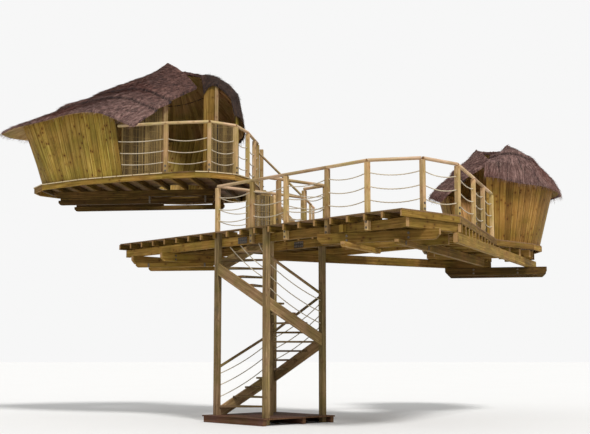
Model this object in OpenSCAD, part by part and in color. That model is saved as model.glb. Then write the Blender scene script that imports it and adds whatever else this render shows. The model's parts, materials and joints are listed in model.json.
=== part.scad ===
// Tree house between three trunks: a mid deck on beams, a winding stair below it,
// a raised deck with a swooping cabin roof on the left and a small end cabin on the right.
// The origin is the foot of the stair tower's front right post, at ground level.

/* [Levels] */
// Top of the ground deck
ground_z = 150; // [120:5:200]
// Rise of one stair tread
tread_rise = 199; // [190:1:210]
// Rise from the mid deck to the upper deck
upper_rise = 1370; // [1200:10:1500]

/* [Timber] */
// Thickness of the deck boards
board_t = 28; // [22:1:40]
// Depth of the joists
joist_h = 120; // [100:5:140]
// Width of the joists
joist_w = 60; // [45:5:80]
// Spacing of the joists
joist_gap = 460; // [400:10:520]
// Depth of the deck beams
beam_h = 180; // [150:5:200]
// Width of the deck beams and trunk clamps
beam_w = 100; // [80:5:120]
// Depth of the trunk clamps and girders
clamp_h = 200; // [160:5:240]
// Depth of the upper deck's beams
upper_beam_h = 150; // [120:5:200]
// Thickness of the packers between the upper deck's beams and clamps
packer_t = 60; // [40:5:80]
// Depth of the upper deck's clamps
upper_clamp_h = 110; // [90:5:140]
// Depth of the bars under the clamps
bar_h = 100; // [80:5:120]
// Depth of the rim boards
rim_h = 120; // [100:5:140]
// Thickness of the rim boards
rim_t = 45; // [30:1:60]

/* [Trunks] */
// Radius of the left trunk at the clamps
trunk_1_r = 540; // [500:5:580]
// Radius of the middle trunk at the clamps
trunk_2_r = 500; // [460:5:540]
// Radius of the right trunk at the clamps
trunk_3_r = 400; // [360:5:440]
// Radius of the left trunk where it leaves the roof
trunk_1_top_r = 420; // [380:5:480]
// Growing room between a trunk and the boards
trunk_gap = 60; // [40:5:80]

/* [Stair tower] */
// Spacing of the tower posts, centre to centre
tower = 1620; // [1580:10:1700]
// Side of a tower post
post_w = 120; // [100:5:130]
// Thickness of a tread
tread_t = 40; // [30:1:50]
// How far a tread reaches over the one below, in degrees
tread_lap = 2; // [0:0.5:4]
// Thickness of the strings
string_t = 50; // [40:1:60]
// Depth of the strings
string_h = 260; // [220:5:280]

/* [Railings] */
// Height of the handrails over the deck
rail_h = 1060; // [950:10:1150]
// Height of the upper deck's handrail
upper_rail_h = 1180; // [1000:10:1250]
// Height of the stair's handrails over its line of treads
stair_rail_h = 1000; // [900:10:1100]
// Diameter of the handrails
rail_d = 70; // [50:1:90]
// Side of a railing post
rail_post = 90; // [70:1:100]
// Diameter of the ropes
rope_d = 24; // [16:1:30]
// Sag of a rope between two posts
rope_sag = 60; // [30:5:90]

/* [Upper stair] */
// Number of rises from the mid deck to the upper deck
ladder_rises = 7; // [6:1:8]
// Going of one tread
ladder_going = 180; // [160:5:220]
// Clear width between the strings
ladder_w = 600; // [500:10:700]

/* [Cabins] */
// Thickness of the cabin walls
wall_t = 30; // [22:1:45]
// Thickness of a roof course
course_t = 65; // [50:1:100]
// Height of the collar of the left roof over its deck
collar_rise = 2950; // [2600:10:3100]
// Height of the collar of the end cabin's roof over its deck
end_collar_rise = 2500; // [2200:10:2700]
// Thickness of the reed screens
reed_t = 30; // [20:1:40]

/* [Hidden] */
$fn = 32;
eps = 1;
seat = 0.3;

deck_z = ground_z + 20 * tread_rise;
joist_top = deck_z - board_t;
beam_top = joist_top - joist_h;
clamp_top = beam_top - beam_h;
bar_top = clamp_top - clamp_h;
upper_z = deck_z + upper_rise;
upper_joist_top = upper_z - board_t;
upper_beam_top = upper_joist_top - joist_h;

trunk_1 = [-4150, 920];
trunk_2 = [2710, 830];
trunk_3 = [220, 7530];
turn_1 = 40;
turn_2 = 21;
turn_3 = 36;

front_y = -100;
back_y = 4000;
left_x = -5350;
right_x = 3900;
corner = [right_x, 1600];
walk_turn = 118.8;
walk_w = 1300;

mid_outline = [
  [left_x, front_y], [right_x, front_y], corner, [2590, back_y], [-3300, back_y], [left_x, 2300]
];

upper_outline = [
  [-3660, 0], [-3640, -450], [-3240, -990], [-2030, -1660], [-1000, -2000], [50, -2310],
  [830, -2420], [1150, -2330], [1640, -1920], [1850, -1300], [1850, 0], [1720, 1250],
  [900, 1850], [-400, 2050], [-2000, 1550], [-3300, 550]
];

end_outline = [
  [1602, 5740], [1560, 7300], [1350, 7930], [700, 8450], [130, 8700], [-600, 8600],
  [-1150, 8000], [-1300, 7200], [-1100, 6300], [-600, 5650], [450, 5110]
];

function lerp(a, b, t) = a + (b - a) * t;
function polar(r, a) = [r * cos(a), r * sin(a)];
function inset(pts, d, c = [0, 0]) = [for (p = pts) c + (p - c) * (1 - d / norm(p - c))];
function flat(lists) = [for (l = lists) each l];

// A smooth curve through evenly spaced values
function blend(a, b, c, d, t) =
  0.5 * (2 * b + (c - a) * t + (2 * a - 5 * b + 4 * c - d) * t * t
    + (3 * b - a - 3 * c + d) * t * t * t);
function curve(tab, f) =
  let (n = len(tab) - 1, x = f * n, i = min(floor(x), n - 1))
  blend(tab[max(i - 1, 0)], tab[i], tab[i + 1], tab[min(i + 2, n)], x - i);

// Closed solid between a lower and an upper grid of n by m cells
function quad(a, b, c, d) = [[a, b, c], [a, c, d]];
function grid_faces(n, m) =
  let (
    lo = function(i, j) i * (m + 1) + j,
    hi = function(i, j) (n + 1) * (m + 1) + i * (m + 1) + j
  )
  flat([
    for (i = [0:n - 1], j = [0:m - 1])
      concat(
        quad(hi(i, j), hi(i, j + 1), hi(i + 1, j + 1), hi(i + 1, j)),
        quad(lo(i, j), lo(i + 1, j), lo(i + 1, j + 1), lo(i, j + 1))
      ),
    for (i = [0:n - 1])
      concat(
        quad(hi(i, 0), hi(i + 1, 0), lo(i + 1, 0), lo(i, 0)),
        quad(lo(i, m), lo(i + 1, m), hi(i + 1, m), hi(i, m))
      ),
    for (j = [0:m - 1])
      concat(
        quad(hi(0, j + 1), hi(0, j), lo(0, j), lo(0, j + 1)),
        quad(lo(n, j + 1), lo(n, j), hi(n, j), hi(n, j + 1))
      )
  ]);

// A roof's values by name
function spec(angles, collar_angles, eave_r, eave_z, foot_r, collar_r, collar_z, bulge, steps, hump) =
  [angles, collar_angles, eave_r, eave_z, foot_r, collar_r, collar_z, bulge, steps, hump];

left_roof = spec(
  [10, 254], [27, 320],
  [1220, 1480, 1700, 2060, 2230, 2250, 2250, 2280, 2400, 2640, 3000, 3680, 4420, 3370, 2960, 2690, 2340],
  [1800, 1740, 1600, 1460, 1340, 1270, 1250, 1250, 1250, 1250, 1250, 1230, 1220, 1400, 1450, 1370, 1040],
  [1200, 1370, 1540, 1690, 1740, 1740, 1750, 1800, 1930, 2350, 2800, 3380, 3390, 2830, 2465, 2240, 2170],
  trunk_1_top_r + trunk_gap,
  [for (d = [600, 170, 80, 20, -10, -10, 0, 0, -10, -30, -40, -10, 70, 170, 290, 440, 570]) collar_rise - d],
  [0.16, 0.36, 0.58, 0.85, 1, 1.05, 1.05, 0.98, 0.92], 48,
  [260, 120, 80, 30, 0, 0, 0, 0, 0, 0, 0, 0, 0, 0, 0, 0, 0]
);
end_roof = spec(
  [-62, 247], [-40, 300],
  [1480, 1560, 1650, 1650, 1650, 1650, 1650, 1650, 1650, 1650, 1620, 1500],
  [1600, 1430, 1360, 1300, 1280, 1270, 1270, 1270, 1280, 1300, 1330, 1100],
  [1200, 1180, 1120, 1110, 1110, 1120, 1130, 1130, 1130, 1130, 1100, 1080],
  trunk_3_r + 40,
  [for (d = [300, 0, 0, 0, 0, 0, 0, 0, 0, 60, 180, 380]) end_collar_rise - d],
  [0.3, 0.6, 0.8, 0.85, 0.85, 0.85], 36, [0, 0, 0, 0, 0, 0, 0, 0, 0, 0, 0, 0]
);

wall_row = 0.12;
function roof_point(s, k, t, lift) =
  let (
    f = k / s[8],
    e = polar(curve(s[2], f), lerp(s[0][0], s[0][1], f)),
    c = polar(s[5], lerp(s[1][0], s[1][1], f)),
    p = lerp(e, c, t),
    low = curve(s[3], f),
    z = low + (curve(s[6], f) - low) * pow(t, curve(s[7], f)) + curve(s[9], f) * 6.75 * t * t * (1 - t)
  )
  [p.x, p.y, z + lift];
function foot_point(s, k, inner) =
  polar(curve(s[4], k / s[8]) - inner, lerp(s[0][0], s[0][1], k / s[8]));

// One course of a roof; each row is [place up the slope, course thicknesses above the shell]
module roof_course(s, rows) {
  m = len(rows) - 1;
  n = s[8];
  low = [for (k = [0:n], r = rows) roof_point(s, k, r[0], course_t * r[1])];
  high = [for (p = low) p + [0, 0, course_t]];
  polyhedron(points = concat(low, high), faces = grid_faces(n, m), convexity = 6);
}

// A point on the line where the walls meet the roof's underside, also between two stations
function under_roof(s, k) =
  let (i = min(floor(k), s[8] - 1))
  lerp(roof_point(s, i, wall_row, 0), roof_point(s, i + 1, wall_row, 0), k - i);

// A flat screen or post under the roof, on the line of one station, its top cut to the roof
module under_station(s, k, from, to, thick, gap) {
  e = roof_point(s, k, 0, 0);
  c = roof_point(s, k, 1, 0);
  l = norm([c.x - e.x, c.y - e.y]);
  tops = [for (n = [0:8]) let (t = lerp(from, to, n / 8)) [t * l, roof_point(s, k, t, -gap).z]];
  translate([e.x, e.y, 0]) rotate([0, 0, bearing(e, c)]) rotate([90, 0, 0])
    translate([0, 0, -thick / 2]) linear_extrude(thick)
      polygon(concat([[to * l, 0], [from * l, 0]], tops));
}

// A stretch of board wall that leans out from the floor to the roof
module board_wall(s, from, to, rake = 0) {
  n = to - from;
  foot = [for (k = [from:to], d = [0, wall_t]) let (p = foot_point(s, k, d)) [p.x, p.y, 0]];
  head = [
    for (k = [from:to], d = [0, wall_t])
      let (p = under_roof(s, k - rake * pow(k / s[8], 8)), q = [p.x, p.y] * (1 - d / norm([p.x, p.y])))
      [q.x, q.y, p.z]
  ];
  polyhedron(points = concat(foot, head), faces = grid_faces(n, 1), convexity = 6);
}

// A timber between two plan points, centred on the line, from its underside up
module timber(p, q, w, h, z) {
  d = q - p;
  translate([p.x, p.y, z]) rotate([0, 0, atan2(d.y, d.x)])
    translate([0, -w / 2, 0]) cube([norm(d), w, h]);
}

// A round pole between two points
module pole(p, q, d) {
  v = q - p;
  l = norm(v);
  translate(p) rotate([0, acos(v.z / l), atan2(v.y, v.x)]) cylinder(h = l, d = d);
}

// A rope that hangs between two points in an arc
module rope(p, q, sag) {
  d = q - p;
  l = norm(d);
  r = (l * l / 4 + sag * sag) / (2 * sag);
  half = asin(l / 2 / r);
  translate((p + q) / 2) rotate([0, -asin(d.z / l), atan2(d.y, d.x)])
    rotate([90, 0, 0]) translate([0, r - sag, 0]) rotate([0, 0, -90 - half])
      rotate_extrude(angle = 2 * half, $fn = 48) translate([r, 0]) circle(d = rope_d, $fn = 16);
}

function lift(p, z) = [p.x, p.y, z];
rope_heights = [250, 510, 780];

// Distance from a post's centre to its face along a bearing
function face_out(bearing, turn) = rail_post / 2 / max(abs(cos(bearing - turn)), abs(sin(bearing - turn)));

// Three ropes in each bay of a run of posts, from post face to post face
module rope_run(pts, turns, z) {
  for (i = [0:len(pts) - 2], h = rope_heights) {
    d = pts[i + 1] - pts[i];
    u = d / norm(d);
    b = atan2(d.y, d.x);
    p = pts[i] + u * face_out(b, turns[i]);
    q = pts[i + 1] - u * face_out(b, turns[i + 1]);
    rope(lift(p, z + h), lift(q, z + h), rope_sag);
  }
}

module rail_post(p, z0, z1, turn = 0) {
  translate([p.x, p.y, z0]) rotate([0, 0, turn])
    translate([-rail_post / 2, -rail_post / 2, 0]) cube([rail_post, rail_post, z1 - z0]);
}

// Round rails end to end along a line, each cut back where the next one turns away
function bearing(p, q) = atan2(q.y - p.y, q.x - p.x);
function cut_back(pts, i) =
  i == 0 || i == len(pts) - 1 ? 0
  : rail_d / 2 * tan(abs(bearing(pts[i - 1], pts[i]) - bearing(pts[i], pts[i + 1])) / 2) + 0.3;

module handrail(pts, z) {
  for (i = [0:len(pts) - 2]) {
    u = (pts[i + 1] - pts[i]) / norm(pts[i + 1] - pts[i]);
    pole(
      lift(pts[i] + u * cut_back(pts, i), z),
      lift(pts[i + 1] - u * cut_back(pts, i + 1), z), rail_d
    );
  }
}

module at_trunk(c, turn) {
  translate([c.x, c.y, 0]) rotate([0, 0, turn]) children();
}

// Two timbers that clasp a trunk, one on each side
module clasp(r, x0, x1, h, z) {
  for (y = [-r - beam_w, r]) shaped_timber(x0, x1, y, h - seat, z);
}

// A timber along x with the lower corners of its ends cut off
module shaped_timber(x0, x1, y, h, z) {
  c = 0.45 * h;
  translate([0, y + beam_w, z]) rotate([90, 0, 0]) linear_extrude(beam_w)
    polygon([[x0, h], [x0, c], [x0 + c, 0], [x1 - c, 0], [x1, c], [x1, h]]);
}

module ring(pts, t, c, h, z) {
  translate([0, 0, z]) linear_extrude(h) difference() {
    polygon(pts);
    polygon(inset(pts, t, c));
  }
}

// Stair tower, its posts at the corners of a square with the front right one at the origin
posts = [[-tower, 0], [-tower, tower], [0, tower], [0, 0]];
centre = [-tower / 2, tower / 2];
first_angle = 225;
step_angle = 22.5;

module ground_bearers() {
  color("saddlebrown") for (y = [-230, (tower + post_w) / 2, tower + 70])
    translate([-tower - 170, y, 0]) cube([tower + 340, beam_w, ground_z - board_t]);
}

module ground_deck() {
  color("saddlebrown") translate([0, 0, ground_z - board_t]) difference() {
    translate([-tower - 200, -250, 0]) cube([tower + 400, tower + 430, board_t]);
    for (p = concat(posts, [centre]))
      translate([p.x - post_w / 2, p.y - post_w / 2, -eps]) cube([post_w, post_w, board_t + 2 * eps]);
  }
}

module tower_posts() {
  tops = [joist_top, bar_top, clamp_top, joist_top];
  color("goldenrod") for (i = [0:3])
    translate([posts[i].x - post_w / 2, posts[i].y - post_w / 2, 0]) cube([post_w, post_w, tops[i]]);
}

module stair_newel() {
  color("goldenrod") translate([centre.x - post_w / 2, centre.y - post_w / 2, 0])
    cube([post_w, post_w, beam_top]);
}

// One string on a side of the tower, between two posts
module string(i) {
  p = posts[i % 4];
  q = posts[(i + 1) % 4];
  d = (q - p) / tower;
  z0 = ground_z + i * 4 * tread_rise;
  z1 = z0 + 4 * tread_rise;
  a = post_w / 2;
  b = tower - post_w / 2;
  za = lerp(z0, z1, a / tower);
  zb = lerp(z0, z1, b / tower);
  low = -string_h / 2;
  cap = i == 4 ? beam_top : 1e5;
  base = i == 0 ? ground_z : 0;
  translate([p.x, p.y, 0]) rotate([0, 0, atan2(d.y, d.x)]) rotate([90, 0, 0])
    translate([0, 0, -string_t]) linear_extrude(string_t) intersection() {
      polygon([[a, za + low], [b, zb + low], [b, zb - low], [a, za - low]]);
      translate([0, base]) square([tower, cap - base]);
    }
}

module stair_strings() {
  color("goldenrod") for (i = [0:4]) string(i);
}

// A wedge tread between two angles about the newel, inside the strings
module tread(i) {
  a1 = first_angle - step_angle * i + tread_lap;
  a0 = first_angle - step_angle * (i + 1);
  r = tower * 2;
  z = ground_z + (i + 1) * tread_rise - tread_t;
  translate([0, 0, z]) linear_extrude(tread_t) difference() {
    intersection() {
      translate([-tower, 0]) square(tower);
      translate(centre) polygon([[0, 0], polar(r, a0), polar(r, a1)]);
    }
    for (p = concat(posts, [centre])) translate(p - [post_w, post_w] / 2) square(post_w);
  }
}

module flight(i) {
  last = i == 4 ? 2 : 3;
  color("peru") for (k = [0:last]) tread(4 * i + k);
}

module stair_flight_1() { flight(0); }
module stair_flight_2() { flight(1); }
module stair_flight_3() { flight(2); }
module stair_flight_4() { flight(3); }
module stair_flight_5() { flight(4); }

// Ropes that follow the flights on the open sides of the tower; the last ones rise to the beam
module stair_ropes() {
  color("wheat") {
    for (i = [0:2]) {
      p = posts[i];
      q = posts[i + 1];
      d = (q - p) / tower;
      z0 = ground_z + i * 4 * tread_rise;
      for (h = [350, 600, 850])
        rope(
          lift(p + d * post_w / 2, z0 + h + 0.04 * 4 * tread_rise),
          lift(q - d * post_w / 2, z0 + h + 0.96 * 4 * tread_rise), rope_sag
        );
    }
    for (r = [[500, 0.85], [710, 0.62], [1000, 0.24]]) intersection() {
      rope(
        [-post_w / 2, 0, ground_z + 12 * tread_rise + r[0]],
        [-r[1] * tower, front_beam_y + beam_w / 2, clamp_top + 20], rope_sag * r[1]
      );
      translate([-tower, -200, 0]) cube([tower, 400, clamp_top - seat]);
    }
  }
}

module stair_handrail() {
  color("goldenrod") for (i = [0:2]) {
    u = (posts[i + 1] - posts[i]) / tower;
    z = ground_z + 4 * i * tread_rise + stair_rail_h;
    pole(
      lift(posts[i] + u * post_w / 2, z + 0.04 * 4 * tread_rise),
      lift(posts[i + 1] - u * post_w / 2, z + 0.96 * 4 * tread_rise), 60
    );
  }
}

// Timbers that clasp the trunks
module trunk_1_clamps() {
  color("olive") at_trunk(trunk_1, 90) clasp(trunk_1_r, -1070, 930, clamp_h, bar_top);
  color("olive") at_trunk(trunk_1, turn_1) clasp(trunk_1_r, -1000, 900, bar_h, bar_top - bar_h);
}

module trunk_2_clamps() {
  color("olive") at_trunk(trunk_2, turn_2) difference() {
    clasp(trunk_2_r, -1280, 1250, clamp_h, bar_top);
    translate([1050, 0, 0]) cube([1000, 1000, 9000]);
  }
  color("olive") at_trunk(trunk_2, turn_2 + 90) clasp(trunk_2_r, -1000, 850, bar_h, bar_top - bar_h);
}

module trunk_3_clamps() {
  color("olive") at_trunk(trunk_3, turn_3) clasp(trunk_3_r, -1250, 1250, clamp_h, bar_top - clamp_h);
}

girder_1 = [[3840, 1500], [700, 8510]];
girder_2 = [[2600, 1760], [430, 6720]];
girder_3 = [[-1690, 1560], [-210, 7860]];

module girders() {
  color("olive") for (g = [girder_1, girder_2, girder_3])
    timber(g[0], g[1], beam_w, clamp_h, bar_top);
}

front_beam_y = post_w / 2;
splice_x = -850;
back_beam_y = tower - beam_w / 2;
rear_beam_y = 3500;
function on_line(g, y) = lerp(g[0].x, g[1].x, (y - g[0].y) / (g[1].y - g[0].y));

beam_end_x = right_x - rim_t - 5;

module front_beam() {
  color("olive") for (x = [[left_x + 30, splice_x - seat], [splice_x, beam_end_x]])
    translate([x[0], front_beam_y, clamp_top]) cube([x[1] - x[0], beam_w, beam_h]);
}

module back_beams() {
  color("olive") {
    translate([left_x + 200, back_beam_y, clamp_top])
      cube([beam_end_x - left_x - 200, beam_w, beam_h]);
    translate([2200, front_beam_y - 100, clamp_top + 15]) cube([beam_w, 100 - seat, beam_h - 30]);
    translate([right_x - 150, front_beam_y + beam_w, clamp_top])
      cube([beam_w, back_beam_y - front_beam_y - beam_w - seat, beam_h]);
    translate([-3600, rear_beam_y, clamp_top])
      cube([on_line(girder_2, rear_beam_y) + 3600, beam_w, beam_h]);
  }
}

module splice_plates() {
  color("dimgray") {
    translate([splice_x - 150, front_beam_y - 6, clamp_top + 20]) cube([300, 6, beam_h - 40]);
    for (x = [-700, 900])
      translate([x - 150, back_beam_y - 6, clamp_top + 20]) cube([300, 6, beam_h - 40]);
  }
}

// The joists run from front to back and stop short at the trunks and the stair well
module mid_joists() {
  color("peru") translate([0, 0, beam_top]) linear_extrude(joist_h) difference() {
    intersection() {
      union() for (x = [left_x + 35:joist_gap:right_x - 60])
        translate([x - joist_w / 2, front_y - 30]) square([joist_w, back_y - front_y + 60]);
      polygon([
        [left_x, front_y - 30], [right_x, front_y - 30], [right_x, 0],
        [walk_x(rim_t, -500), -500], [walk_x(rim_t, back_y), back_y], [-3300, back_y],
        [left_x, 2300]
      ]);
    }
    for (t = [[trunk_1, trunk_1_r], [trunk_2, trunk_2_r]])
      translate(t[0]) circle(r = t[1] + trunk_gap, $fn = 48);
    translate([-tower, front_beam_y + beam_w]) square([tower, back_beam_y - front_beam_y - beam_w]);
    for (p = posts) translate(p - [post_w, post_w] / 2) square(post_w);
    translate([right_x - rim_t, front_y - 40]) square([200, 2000]);
  }
}

module mid_deck() {
  color("peru") translate([0, 0, joist_top]) linear_extrude(board_t) difference() {
    polygon(mid_outline);
    for (t = [[trunk_1, trunk_1_r], [trunk_2, trunk_2_r]])
      translate(t[0]) circle(r = t[1] + trunk_gap, $fn = 48);
    difference() {
      translate([-tower, post_w / 2]) square([tower, tower - post_w]);
      translate(centre) polygon([[0, 0], polar(3 * tower, 135), polar(3 * tower, 157.5)]);
    }
    for (i = [1:4]) translate(front_posts[i] - [rail_post, rail_post] / 2) square(rail_post);
  }
}

module edge_boards() {
  color("goldenrod") {
    translate([right_x - rim_t, front_y, beam_top]) cube([rim_t, corner.y - front_y - 30, joist_h]);
    translate([0, 0, beam_top]) linear_extrude(joist_h) polygon([
      corner, end_near, end_near + walk_side * rim_t, corner + walk_side * rim_t
    ]);
  }
}

rail_y = front_beam_y - rail_post / 2;
rail_x = right_x - rim_t - rail_post / 2 - 5;
well_x = -tower - rail_post / 2;
front_posts = [for (x = [well_x, -480, 600, 1820, 2920]) [x, rail_y]];
right_posts = [[rail_x, 600], [3800, 1640], [2950, 3210], [2350, 4300], [1760, 5380]];
right_turns = [0, 0, walk_turn, walk_turn, walk_turn];
outer_posts = concat(front_posts, right_posts);
well_posts = [[well_x, rail_y], [well_x, 900], [well_x, tower + 60], [well_x, 2600]];
flat_turns = [0, 0, 0, 0, 0];
outer_turns = concat(flat_turns, right_turns);

inner_posts = [[rail_post / 2, 300], [rail_post / 2, tower + 60], [-640, tower + 60]];
rail_top = deck_z + rail_h - rail_d;

// The front posts are bolted to the outer face of the front beam
module rail_posts() {
  color("goldenrod") {
    for (i = [0:4]) rail_post(front_posts[i], i == 0 ? deck_z : clamp_top, rail_top);
    for (i = [0:4]) rail_post(right_posts[i], deck_z, rail_top, right_turns[i]);
    for (i = [1:3]) rail_post(well_posts[i], deck_z, rail_top);
    for (p = inner_posts) rail_post(p, deck_z, rail_top);
  }
}

module handrails() {
  z = rail_top + rail_d / 2;
  clear = rail_d / 2 + seat;
  color("goldenrod") {
    handrail(outer_posts, z);
    handrail([well_posts[0] + [0, clear], well_posts[3]], z);
    handrail([[rail_post / 2, rail_y + clear], inner_posts[1]], z);
    handrail([inner_posts[1] - [clear, 0], inner_posts[2]], z);
  }
}

module deck_ropes() {
  color("wheat") {
    rope_run(outer_posts, outer_turns, deck_z);
    rope_run([well_posts[0], well_posts[1]], flat_turns, deck_z);
    rope_run([well_posts[2], well_posts[3]], flat_turns, deck_z);
    rope_run(inner_posts, flat_turns, deck_z);
  }
}

// Walkway from the mid deck to the end cabin
walk_dir = [cos(walk_turn), sin(walk_turn)];
walk_side = [-sin(walk_turn), cos(walk_turn)];
walk_start = [2590, back_y];
function walk_x(off, y) =
  corner.x + walk_side.x * off + (y - corner.y - walk_side.y * off) * walk_dir.x / walk_dir.y;
end_near = [walk_x(0, 5740), 5740];
end_left = [walk_x(walk_w, 5110), 5110];
walk_shape = [walk_start, end_near, end_left, [walk_x(walk_w, back_y), back_y]];

// Cross timbers that lie on the two right girders, cut off above the inner one
cross_gap = 400;
module cross_timbers(from, to) {
  for (k = [from:to]) translate(corner + walk_dir * (200 + cross_gap * k) - walk_side * 600)
    rotate(walk_turn + 90) square([4600, 70]);
}

module walkway_beams() {
  g = girder_2;
  color("peru") translate([0, 0, clamp_top]) linear_extrude(beam_h) {
    intersection() {
      cross_timbers(0, 10);
      polygon([
        [walk_x(0, 1700), 1700], [walk_x(0, 6200), 6200], [on_line(g, 6200), 6200],
        [on_line(g, 1760), 1760]
      ]);
    }
    difference() {
      intersection() {
        cross_timbers(11, 18);
        polygon(inset(end_outline, 120, trunk_3));
      }
      translate(trunk_3) circle(r = trunk_3_r + trunk_gap, $fn = 48);
    }
  }
}

// Three long joists carry the walkway boards between the mid deck and the end deck
module walkway_bearers() {
  color("peru") translate([0, 0, beam_top]) linear_extrude(joist_h) intersection() {
    polygon(walk_shape);
    union() for (off = [rim_t + 1, (walk_w - joist_w) / 2, walk_w - joist_w])
      translate(corner + walk_side * off) rotate(walk_turn) translate([2000, 0])
        square([4000, joist_w]);
    translate([-9000, back_y + seat]) square(18000);
  }
}

module walkway_deck() {
  color("peru") translate([0, 0, joist_top]) linear_extrude(board_t) polygon(walk_shape);
}

// Left trunk: the upper deck is carried by beams at right angles to its joists
// Clamps under them with packers between, which leave a slot in front of the trunk
module upper_clamps() {
  z = upper_beam_top - upper_beam_h - packer_t - upper_clamp_h;
  color("olive") at_trunk(trunk_1, turn_1) {
    clasp(trunk_1_r, -2950, 900, upper_clamp_h, z);
    for (y = [-trunk_1_r - beam_w, trunk_1_r], x = [[-2900, -650], [600, 880]])
      translate([x[0], y, z + upper_clamp_h]) cube([x[1] - x[0], beam_w, packer_t - seat]);
  }
}

module upper_beams() {
  color("olive") at_trunk(trunk_1, turn_1)
    clasp(trunk_1_r, -3050, 900, upper_beam_h, upper_beam_top - upper_beam_h);
}

module upper_joists() {
  color("peru") at_trunk(trunk_1, turn_1) translate([0, 0, upper_beam_top]) linear_extrude(joist_h)
    difference() {
      intersection() {
        union() for (x = [-3300:440:1800]) translate([x - joist_w / 2, -3000]) square([joist_w, 6000]);
        polygon(inset(upper_outline, rim_t));
      }
      circle(r = trunk_1_r + trunk_gap, $fn = 48);
    }
}

module upper_rim() {
  color("goldenrod") at_trunk(trunk_1, turn_1)
    ring(upper_outline, rim_t, [0, 0], joist_h, upper_beam_top);
}

module upper_deck() {
  color("peru") at_trunk(trunk_1, turn_1) translate([0, 0, upper_joist_top]) linear_extrude(board_t)
    difference() {
      polygon(inset(upper_outline, -20));
      circle(r = trunk_1_r + trunk_gap, $fn = 48);
    }
}

front_from = 32;
front_to = 46;

module at_upper() {
  translate([0, 0, upper_z]) at_trunk(trunk_1, turn_1) children();
}

module cabin_wall_front() {
  color("darkkhaki") at_upper() board_wall(left_roof, front_from, front_to, 1.3);
}

module cabin_wall_back() {
  color("darkkhaki") at_upper() board_wall(left_roof, 2, front_from, 1.3);
}

door_at = [0.6, 0.655];
gable_at = [0.543, 0.645];
gable_post = 100;

// Two posts under the free edges of the roof, one on each side of the trunk
module cabin_posts() {
  color("goldenrod") at_upper() {
    under_station(left_roof, 46, door_at[0], door_at[1], 130, 45);
    under_station(left_roof, 1, gable_at[0], gable_at[1], gable_post, 45);
  }
}

// Woven reed screens beside the cabin door, in the deck railing and at the end cabin's door
module reed_screens() {
  a = well_posts[1];
  b = well_posts[2];
  color("rosybrown") {
    at_upper() reed_high();
    translate([a.x - reed_t / 2, a.y + rail_post / 2, deck_z])
      cube([reed_t, b.y - a.y - rail_post, rail_h - rail_d - 40]);
    at_upper() reed_low(left_roof, 1, 0.05, 0.8, gable_post / 2 + reed_t / 2 + seat, 1600);
    at_end() reed_arc(end_foot(0) * 0.97, end_foot(-2.4) * 0.97, 1300);
  }
}

// The tall screen that runs from behind the front wall's end to the door post, up to the roof
module reed_high() {
  a = roof_point(left_roof, 45, 0.22, 0);
  b = roof_point(left_roof, 46, door_at[0] - 0.002, 0);
  l = norm([b.x - a.x, b.y - a.y]);
  tops = [
    for (n = [0:6])
      [l * n / 6, roof_point(left_roof, 45, lerp(0.22, door_at[0], n / 6), -50).z]
  ];
  translate([a.x, a.y, 0]) rotate([0, 0, bearing(a, b)]) rotate([90, 0, 0])
    translate([0, 0, -reed_t / 2]) linear_extrude(reed_t) polygon(concat([[l, 0], [0, 0]], tops));
}

// A low reed screen beside the line of one station
module reed_low(s, k, from, to, out, h) {
  e = roof_point(s, k, 0, 0);
  c = roof_point(s, k, 1, 0);
  l = norm([c.x - e.x, c.y - e.y]);
  translate([e.x, e.y, 0]) rotate([0, 0, bearing(e, c)])
    translate([from * l, out - reed_t / 2, 0]) cube([(to - from) * l, reed_t, h]);
}

function end_foot(k) = polar(end_roof[4][0], lerp(end_roof[0][0], end_roof[0][1], k / end_roof[8]));
module reed_arc(p, q, h) {
  d = q - p;
  translate(p) rotate([0, 0, atan2(d.y, d.x)]) translate([3, 0, 0]) cube([norm(d), reed_t, h]);
}

module gable_wall() {
  color("darkkhaki") at_upper() under_station(left_roof, 1, gable_at[1] + 0.003, 0.98, wall_t, 30);
}

rows_low = [[0, 0], [0.12, 0], [0.23, 0], [0.32, 0], [0.36, 0]];
rows_mid = [[0.32, 1], [0.36, 1], [0.46, 0.5], [0.54, 0.16], [0.58, 0]];
rows_top = [[0.54, 1.16], [0.58, 1], [0.72, 0.6], [0.86, 0.3], [1, 0]];

module roof_lower_course() {
  color("sienna") at_upper() roof_course(left_roof, rows_low);
}

module roof_middle_course() {
  color("sienna") at_upper() roof_course(left_roof, rows_mid);
}

module roof_upper_course() {
  color("sienna") at_upper() roof_course(left_roof, rows_top);
}

upper_posts = [[100, -2200], [1100, -2230], [1600, -1720], [1740, -900], [1740, 30], [1740, 500]];
stair_post = [1740, 1140];
upper_turns = [for (i = [0:5])
  bearing(upper_posts[max(i - 1, 0)], upper_posts[min(i + 1, 5)])
];

module upper_rail_posts() {
  color("goldenrod") at_upper() for (i = [0:5])
    rail_post(upper_posts[i], 0, upper_rail_h - rail_d, upper_turns[i]);
  color("goldenrod") at_upper() rail_post(stair_post, 0, upper_rail_h - rail_d);
}

rail_start = let (
  h = under_roof(left_roof, front_to - 1.3),
  f = foot_point(left_roof, front_to, 0),
  p = lerp(f, [h.x, h.y], upper_rail_h / h.z * 0.8)
) p + [75, 0];

module upper_handrail() {
  color("goldenrod") at_upper() handrail(concat([rail_start], upper_posts), upper_rail_h - rail_d / 2);
}

module upper_ropes() {
  color("wheat") at_upper() {
    rope_run(upper_posts, upper_turns, 0);
    for (h = rope_heights) rope(lift(rail_start, h), [upper_posts[0].x - rail_post / 2, upper_posts[0].y, h], 30);
  }
}

// Steep stair from the upper deck down to the mid deck
ladder_x = 1830;
ladder_y = 820;
ladder_rise = upper_rise / ladder_rises;

module at_ladder() {
  translate([0, 0, deck_z]) at_trunk(trunk_1, turn_1) translate([ladder_x, ladder_y, 0]) children();
}

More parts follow.
